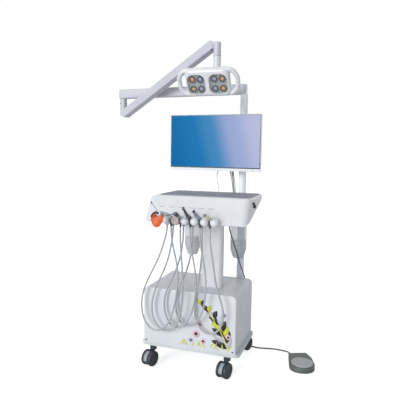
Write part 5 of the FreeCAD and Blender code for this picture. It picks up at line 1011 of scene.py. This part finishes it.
# %% Arm trims
ARM_ANGLE, ELBOW_ANGLE, SPRING_ANGLE, SPRING_LENGTH = -5.0, -21.0, 25.49, 692.6
ARM_BACK, ARM_REACH, ARM_HALF, ARM_HEIGHT = 14, 758, 22.5, 51
arm_at = place(pivot("lamp_arm_swing"), turning(Z, ARM_ANGLE))
loop, normals = rounded([(-ARM_REACH, -ARM_HALF), (ARM_BACK, -ARM_HALF), (ARM_BACK, ARM_HALF),
                         (-ARM_REACH, ARM_HALF)], [6.5, 20, 20, 6.5])
tube = shell(np.stack([level_ring(loop - inset * normals, level)
                       for inset, level in edge_steps(ARM_HEIGHT, 5, 5)]))
piece("lamp_arm_tube", [(moved(tube, arm_at), white_coat_painted_shade)], "lamp_arm",
      ["lamp_arm"])
elbow_at = place(pivot("elbow_swing"), turning(Z, ELBOW_ANGLE))
screw = lathe([[0, 0], [3.4, 0], [3.4, 1.2], [2.6, 1.8], [0, 1.8]], 24)
slot = slab(5, 12, 1.2, 2, 0.3, 0.3)
piece("elbow_screws", placed(
    elbow_at, (moved(screw, place((-6, -15, -27), turning(X, 90))), dark_rubber_and_painted_shade),
    (moved(slot, place((18, 6, -32), turning(Y, 90), turning(Z, 90))), abs_black)),
      "lamp_elbow")
spring_at = place(pivot("spring_arm_lift"), turning(Z, ELBOW_ANGLE), turning(Y, -SPRING_ANGLE))
pin_end = lathe(eased([[0, 0], [5.6, 0], [5.6, 0.5], [4.6, 0.9], [0, 0.9]], 0.5), 32)
trims = [(moved(pin_end, place((along, side * 21.9, 0), turning(X, -90 * side))), white_coat_painted_shade)
         for side in (-1, 1) for along in (0, SPRING_LENGTH)]
trims.append((moved(screw, place((14, 8, -22.9), turning(X, 180))), dark_rubber_and_painted_shade))
piece("spring_arm_pins", placed(spring_at, *trims), "spring_arm")
knuckle_at = place(pivot("knuckle_level"), turning(Z, ELBOW_ANGLE))
barrel = moved(lathe(eased([[0, -19], [19.5, -19], [19.5, 19], [0, 19]], 1.5)),
               place((0, 0, 0), turning(X, 90)))
web = slab(40, 37.5, 31, 3, 1, 2.5, -16, (17, 0))
piece("knuckle_web", placed(knuckle_at, (barrel, white_coat_painted_shade), (web, white_coat_painted_shade)), "lamp_knuckle")

# %% [markdown]
# ## Lamp head
# The head is a soft ABS shell with two windows. Its depth at any point comes from the distance
# to its outline: a quarter ellipse over the last 20 mm. To cut a window without a boolean, each
# half is a fan of rays from the window's edge to the outline or to the middle line, and the two
# halves are mirror images that meet there.

# %% Lamp shell
HEAD_W, HEAD_H, HEAD_CORNER, HALF_DEPTH, SOFT = 216.0, 136.0, 30.0, 22.5, 20.0
WINDOW = np.array([53.0, -6.0])
WINDOW_W, WINDOW_H, WINDOW_CORNER = 88, 98, 30
HEAD_TILT, HEAD_AHEAD = 30, 40.5


def outside(points, width, height, corner):
    """Signed distance to a rounded rectangle, negative inside it."""
    q = np.abs(points) - (np.array([width, height]) / 2 - corner)
    return (np.linalg.norm(np.maximum(q, 0), axis=-1) + np.minimum(q.max(axis=-1), 0)
            - corner)


def reach(directions, test):
    """How far each ray from the window's middle goes before test turns positive."""
    low, high = np.zeros(len(directions)), np.full(len(directions), 300.0)
    for _ in range(40):
        half = (low + high) / 2
        past = test(WINDOW + directions * half[:, None]) > 0
        low, high = np.where(past, low, half), np.where(past, half, high)
    return low


def head_depth(points):
    """h sqrt(1 - (1 - d/s)^2) for points closer than s to the outline, else h."""
    inner = np.clip(-outside(points, HEAD_W, HEAD_H, HEAD_CORNER) / SOFT, 0, 1)
    return HALF_DEPTH * np.sqrt(1 - (1 - inner) ** 2)


corners = np.array([(0, HEAD_H / 2), (0, -HEAD_H / 2)]) - WINDOW
angles = np.sort(np.concatenate([np.radians(np.arange(0, 360, 4)),
                                 np.arctan2(corners[:, 1], corners[:, 0]) % (2 * np.pi)]))
rays = np.stack([np.cos(angles), np.sin(angles)], -1)
rim = WINDOW + rays * reach(rays, lambda p: outside(
    p - WINDOW, WINDOW_W, WINDOW_H, WINDOW_CORNER))[:, None]
edge = WINDOW + rays * reach(rays, lambda p: np.maximum(
    outside(p, HEAD_W, HEAD_H, HEAD_CORNER), -p[:, 0]))[:, None]
share = np.sin(np.linspace(0, np.pi / 2, 16))[:, None, None]
face_points = rim * (1 - share) + edge * share
face_depth = -head_depth(face_points)
sunk = np.stack([WINDOW + (rim - WINDOW) * scale for scale in (0.96, 0.965, 0.985)])
sunk_depth = np.stack([np.full(len(rim), d) for d in (1.6, -19.5, -21.4)])
front_grid = np.concatenate([np.concatenate([sunk, face_points]),
                             np.concatenate([sunk_depth, face_depth])[..., None]], -1)
back_points = WINDOW * (1 - share) + edge * share
back_grid = np.concatenate([back_points, head_depth(back_points)[..., None]], -1)
halves = []
for sign in (1, -1):
    for grid, caps in ((front_grid, (True, False)), (back_grid, (False, False))):
        points, faces = shell(grid, caps)
        local = np.stack([points[:, 0] * sign, points[:, 2], points[:, 1]], -1)
        halves.append((local, faces))
head_at = inside(place(pivot("lamp_head_tilt"), turning(X, HEAD_TILT)),
                 place((0, -HEAD_AHEAD, 0)))
head_parts = [(moved(joined(halves), head_at), abs_white)]

# %% [markdown]
# The two grips are oval bars that carry the shell's outline on: they leave its upper edge, run
# round the ends and come back below. Two lugs on the back hold the head on its yoke, and two
# groups of ribs there carry off its heat.

# %% Lamp grips and lugs
upper = [(70, 57.5), (93, 57.5), (111, 54), (126.5, 44), (136.5, 28.5), (140.8, 12)]
for sign in (1, -1):
    line = flowing([(sign * x, 0, z) for x, z in upper + [(x, -z) for x, z in upper[::-1]]], 5)
    head_parts.append((moved(sweep(line, oval(10.8, 13), (0, 1, 0)), head_at), abs_white))
YOKE_LUG_X = 16.2
for side in (-1, 1):
    at = place((side * YOKE_LUG_X - 2.5, 32, 0), turning(Y, 90), turning(Z, 90))
    head_parts.append((moved(slab(24, 30, 5, 11.9, 0.6, 0.6), inside(head_at, at)), abs_white))
back_at = inside(head_at, place((0, 22.0, 0), turning(X, -90)))
FINS, FIN_X, FIN_TOP, FIN_PITCH = 4, 58, 18, 12
# The ribs are drawn as grey lines: painted shade of the grooves between them.
head_parts += placed(back_at, *(
    (slab(70, 2.4, 1.6, 1.1, 0.2, 0.5, 0, (side * FIN_X, FIN_TOP - FIN_PITCH * row)), groove_shade_and_button_grey)
    for side in (-1, 1) for row in range(FINS)))
piece("lamp_shell", head_parts, "lamp_head", ["lamp_housing"], 45)

# %% Lamp windows and light sources
LIGHT_X, LIGHT_Z = 19, 23
pane = slab(WINDOW_W - 1.4, WINDOW_H - 1.4, 2.6, 29.4, 0.5, 0.8)
board = slab(WINDOW_W - 2, WINDOW_H - 2, 2, 29, 0.2, 0.3)
# Each cup is dark: painted shade round its dome.
cup = lathe(eased([[0, 0.6], [10, 0.8], [13.8, 8], [14.8, 8.6], [15.4, 7.6], [15.4, 0], [0, 0]],
                  0.8), 36)
dome = lathe([[9.0 * math.cos(a), 1.2 + 5.8 * math.sin(a)] for a in np.linspace(0, 1.5, 9)]
             + [[0, 7]], 32)
panes, boards = [], []
for sign in (-1, 1):
    window_at = inside(head_at, place((sign * WINDOW[0], 0, WINDOW[1]), FACING))
    panes += placed(inside(window_at, place((0, 0, 19.2))), (pane, pane_clear))
    boards += placed(inside(window_at, place((0, 0, 6.5))), (board, board_grey))
    for aside in (-1, 1):
        for upward in (-1, 1):
            light_at = inside(window_at, place((aside * LIGHT_X, upward * LIGHT_Z, 8.4)))
            boards += placed(light_at, (cup, cup_painted_shade),
                             (dome, dome_warm if aside == sign else dome_cool))
piece("lamp_panes", panes, "lamp_head", ["lamp_lenses"])
piece("lamp_light_sources", boards, "lamp_head", ["lamp_light_boards"])

# %% [markdown]
# ## Casters
# Twin wheels have a nylon centre with a moulded-on polyurethane tread. The tread's shallow
# groove and the dished hub come from the turned profiles. The frame gives each caster's stem
# and axle, and the line from one to the other is the caster's heading.

# %% Caster wheels
GAP = 20.0
tread = lathe(eased([[28, 1.2], [32.5, 0.4], [36, 1.5], [37.5, 5], [37.5, 8.0], [37.0, 8.6],
                     [37.0, 9.4], [37.5, 10], [37.5, 13], [36, 16.5], [32.5, 17.6],
                     [28, 16.8]], 1.6, 4), 72)
hub = lathe(eased([[4.1, 2.4], [10, 2.0], [12, 3.6], [24, 3.2], [28.5, 1.6], [28.5, 16.4],
                   [24, 14.8], [12, 14.4], [10, 16.2], [4.1, 15.8]], 1.2, 4), 72)
cap = lathe(eased([[0, 14.4], [6, 14.4], [6, 16.8], [4.6, 17.6], [0, 17.7]], 1, 4), 32)
for corner in FRONT_CORNERS + REAR_CORNERS:
    axle = pivot("wheel_spin_" + corner)
    trail = axle - pivot("caster_swivel_" + corner)
    heading = math.degrees(math.atan2(trail[1], trail[0]))
    parts = []
    for side in (1, -1):
        at = inside(place(axle, turning(Z, heading)),
                    place((0, side * GAP / 2, 0), turning(X, -90 * side)))
        parts += placed(at, (tread, tread_rubber), (hub, nylon_hub), (cap, nylon_dark))
    piece("caster_wheels_%s_turned" % corner, parts, "wheels_" + corner,
          ["caster_wheels_" + corner])

# %% [markdown]
# ## Foot control
# A heavy moulded base with a broad round toe and a squarer heel, sunk round a flat pedal. The
# base's outline is one loop with rounded corners, and each point has its own outward normal.
# A ring of the base is the loop moved in along the normals, and the last rings close on a circle.

# %% Foot control
FOOT_PLACE, FOOT_TURN, WELL_RADIUS, WELL_RIM = (523.4, 50, 0), 23.3, 55, 28.4
FOOT_CORNERS = [(-37, 119.5), (-76.5, -48), (53, -69.5), (66.4, 53), (56, 119.5)]
FOOT_ROUNDS = [8, 56, 56, 30, 8]
foot_at = place(FOOT_PLACE, turning(Z, FOOT_TURN))
loop, normals = rounded(FOOT_CORNERS, FOOT_ROUNDS)
bearing = loop / np.linalg.norm(loop, axis=1, keepdims=True)
base = shell(np.stack(
    [level_ring(loop - inset * normals, z)
     for inset, z in ((2, 0), (0.5, 0.6), (0, 2), (0, 26), (0.9, 28.1), (3, 29))]
    + [level_ring(bearing * radius, z)
       for radius, z in ((WELL_RADIUS + 0.6, 29), (WELL_RADIUS, WELL_RIM))]), (True, False))
# The darker well is painted shade round the sunk pedal.
well = lathe([[WELL_RADIUS, WELL_RIM], [WELL_RADIUS, 19], [WELL_RADIUS - 0.5, 18.5], [0, 18.5]],
             96)
piece("foot_control_base", placed(foot_at, (base, foot_grey), (well, foot_recess_painted_shade)), "cart",
      ["foot_housing"], 40)
disc = lathe(eased([[0, 25], [53, 25], [53.5, 26], [53.5, 31.4], [52.4, 33.4], [50, 34],
                    [46, 33.6], [0, 33.6]], 1.4, 5), 96)
post = lathe([[0, 10], [12, 10], [12, 25.5], [0, 25.5]], 32)
piece("foot_pedal_disc", placed(foot_at, (disc, pedal_grey), (post, foot_recess_painted_shade)), "foot_pedal",
      ["foot_pedal"])

# %% [markdown]
# ## Small parts on the cabinet
# A low collar closes the gap round the column, screws hold the cover, and a dark ring of painted
# shade marks the seam over the lamp's neck. The front carries a plain printed pattern: leaves, a
# stem and berries of our own drawing.
# A leaf is a strip whose half width is w 2u (1 - u) along a curved midrib.

# %% Collar and screws
collar = slab(113, 78, 3, 23, 0.4, 1.6, 396, (76, -36))
cover_parts = [(collar, powder_white)]
screw = lathe(eased([[0, -0.5], [4.2, -0.5], [4.2, 1.0], [3.2, 1.9], [0, 2.1]], 0.7), 28)
COVER_Y, SCREW_X, SCREW_Z = 171, 222, 126
for x in (-SCREW_X, SCREW_X):
    for side in (-1, 1):
        at = place((x, side * COVER_Y, SCREW_Z), turning(X, -90 * side))
        cover_parts.append((moved(screw, at), abs_black))
piece("cover_trims", cover_parts, "cart")
# The dark ring is painted shade in the seam over the lamp's neck.
ring = lathe([[17, 1524.3], [18.7, 1524.4], [18.7, 1525.2], [17, 1525.3]], 40)
ring_at = place(pivot("lamp_neck_turn") * (1, 1, 0))
piece("neck_seam_ring", [(moved(ring, ring_at), dark_rubber_and_painted_shade)], "lamp_neck")


# %% Printed leaves
def leaf(root, tip, width, bow=0.0, steps=15):
    """Points root + u (tip - root), pushed aside by 4u(1-u) times bow and +-width / 2."""
    u = np.linspace(0.02, 0.98, steps)[:, None]
    root, tip = np.array(root, float), np.array(tip, float)
    along = tip - root
    normal = np.array([-along[1], along[0]]) / np.linalg.norm(along)
    midrib = root + u * along + bow * 4 * u * (1 - u) * normal
    half = width / 2 * 4 * u * (1 - u)
    points = np.stack([midrib - half * normal, midrib + half * normal], 1).reshape(-1, 2)
    faces = np.arange(steps - 1)[:, None] * 2 + np.array([0, 1, 3, 2])
    return level_ring(points, 0), faces.tolist()


def spot(centre, radius, sides=32):
    """A flat disc."""
    return level_ring(oval(radius, radius, sides) + centre, 0), [list(range(sides))]


PRINT_BLACK = finish("print_ink_black", "#26222A", "#2C2830", 0.40, 2.0, 0.005)
PRINT_GREY = finish("print_ink_grey", "#C2C4CE", "#BABCC8", 0.40, 2.0, 0.005)
PRINT_PINK = finish("print_ink_pink", "#E9C3D2", "#E2BACB", 0.40, 2.0, 0.005)
PRINT_LIME = finish("print_ink_lime", "#CBD245", "#C0C83C", 0.40, 2.0, 0.005)
SPRAYS, BLADES = 8, 12
prints = []
for k in range(SPRAYS):
    u = k / (SPRAYS - 1)
    root = (198 - 128 * u + 34 * math.sin(3 * u), 138 + 192 * u)
    for side in (-1, 1):
        angle = math.radians(58 + 30 * side + 34 * u)
        size = 84 - 34 * u
        tip = (root[0] + side * size * math.cos(angle * 0.6) * (0.32 if side > 0 else 1),
               root[1] + size * 0.8 * math.sin(angle))
        ink = (PRINT_BLACK, PRINT_GREY, PRINT_BLACK, PRINT_LIME)[(k + (side > 0)) % 4]
        prints.append((leaf(root, tip, 34 - 14 * u, 5 * side), ink))
for k in range(BLADES):
    root = (-42 + 22 * k, 127 + 3 * math.sin(2.1 * k))
    tip = (root[0] + 24 * math.cos(k * 1.7), root[1] + 22 + 8 * (k % 3))
    prints.append((leaf(root, tip, 7, 3), PRINT_LIME))
for x, z, r in ((40, 192, 19), (76, 160, 14), (14, 158, 12), (58, 240, 13), (200, 196, 13),
                (178, 300, 12)):
    prints.append((spot((x, z), r), PRINT_PINK if r > 12 else PRINT_GREY))
    prints.append((spot((x, z), r * 0.45), PRINT_BLACK))
stem = [(200, 124), (188, 168), (164, 214), (132, 262), (96, 322)]
line = flowing([(x, z, 0) for x, z in stem])
prints.append((sweep(line, oval(2.2, 0.05, 8), (0, 0, 1)), PRINT_LIME))
INK_GAP, INK_STEP = 0.15, 0.004
layered = [(moved(surface, place((0, -COVER_Y - INK_GAP - INK_STEP * order, 0), FACING)), ink)
           for order, (surface, ink) in enumerate(prints)]
leaves = piece("printed_leaves", layered, "cart")
leaves.modifiers.new("film", "SOLIDIFY").thickness = 0.00008

# %% [markdown]
# ## Light, floor and background
# One broad soft sun stands to the left of the camera and low, and an even white sky fills the
# shade, so white paint renders about as it is written. The camera, reflections and clear parts
# see the sky as plain white, and the floor glows for the camera alone, so that it looks white
# and still takes the cart's shadow.

# %% Light
sun = linked("key", bpy.data.lights.new("key", "SUN"))
sun.data.energy = 2.05
sun.data.angle = math.radians(30)
to_light = np.array([-0.35, -0.9, 0.24])
to_light /= np.linalg.norm(to_light)
side = np.cross((0, 0, 1), to_light)
side /= np.linalg.norm(side)
sun.matrix_world = stance([side, np.cross(to_light, side), to_light])
sky = bpy.data.worlds.new("sky")
sky.use_nodes = True
sky.node_tree.nodes.clear()
tree = sky.node_tree
path = add(tree, "ShaderNodeLightPath")
seen = path.outputs["Is Camera Ray"]
for kind in ("Is Glossy Ray", "Is Transmission Ray"):
    seen = add(tree, "ShaderNodeMath", {0: seen, 1: path.outputs[kind]},
               operation="MAXIMUM").outputs[0]
strength = add(tree, "ShaderNodeMapRange", {"Value": seen, "To Min": 0.54, "To Max": 1.0})
light = add(tree, "ShaderNodeBackground", {"Color": (1, 1, 1, 1),
                                           "Strength": strength.outputs[0]})
tree.links.new(light.outputs[0], add(tree, "ShaderNodeOutputWorld").inputs["Surface"])
bpy.context.scene.world = sky

# %% Floor
material, tree, output = blank("studio_floor")
path = add(tree, "ShaderNodeLightPath")
paper = add(tree, "ShaderNodeBsdfDiffuse", {"Color": linear("#F4F4F4")})
glow = add(tree, "ShaderNodeEmission", {"Color": (1, 1, 1, 1), "Strength": 0.62})
both = add(tree, "ShaderNodeAddShader", {0: paper.outputs[0], 1: glow.outputs[0]})
choice = add(tree, "ShaderNodeMixShader", {0: path.outputs["Is Camera Ray"],
                                           1: paper.outputs[0], 2: both.outputs[0]})
tree.links.new(choice.outputs[0], output.inputs["Surface"])
FLOOR_HALF = 40.0
floor_mesh = bpy.data.meshes.new("floor")
floor_mesh.from_pydata([(x * FLOOR_HALF, y * FLOOR_HALF, 0)
                        for x, y in ((-1, -1), (1, -1), (1, 1), (-1, 1))], [], [(0, 1, 2, 3)])
floor_mesh.materials.append(material)
floor = linked("floor", floor_mesh)
bpy.context.scene.view_settings.view_transform = "Standard"
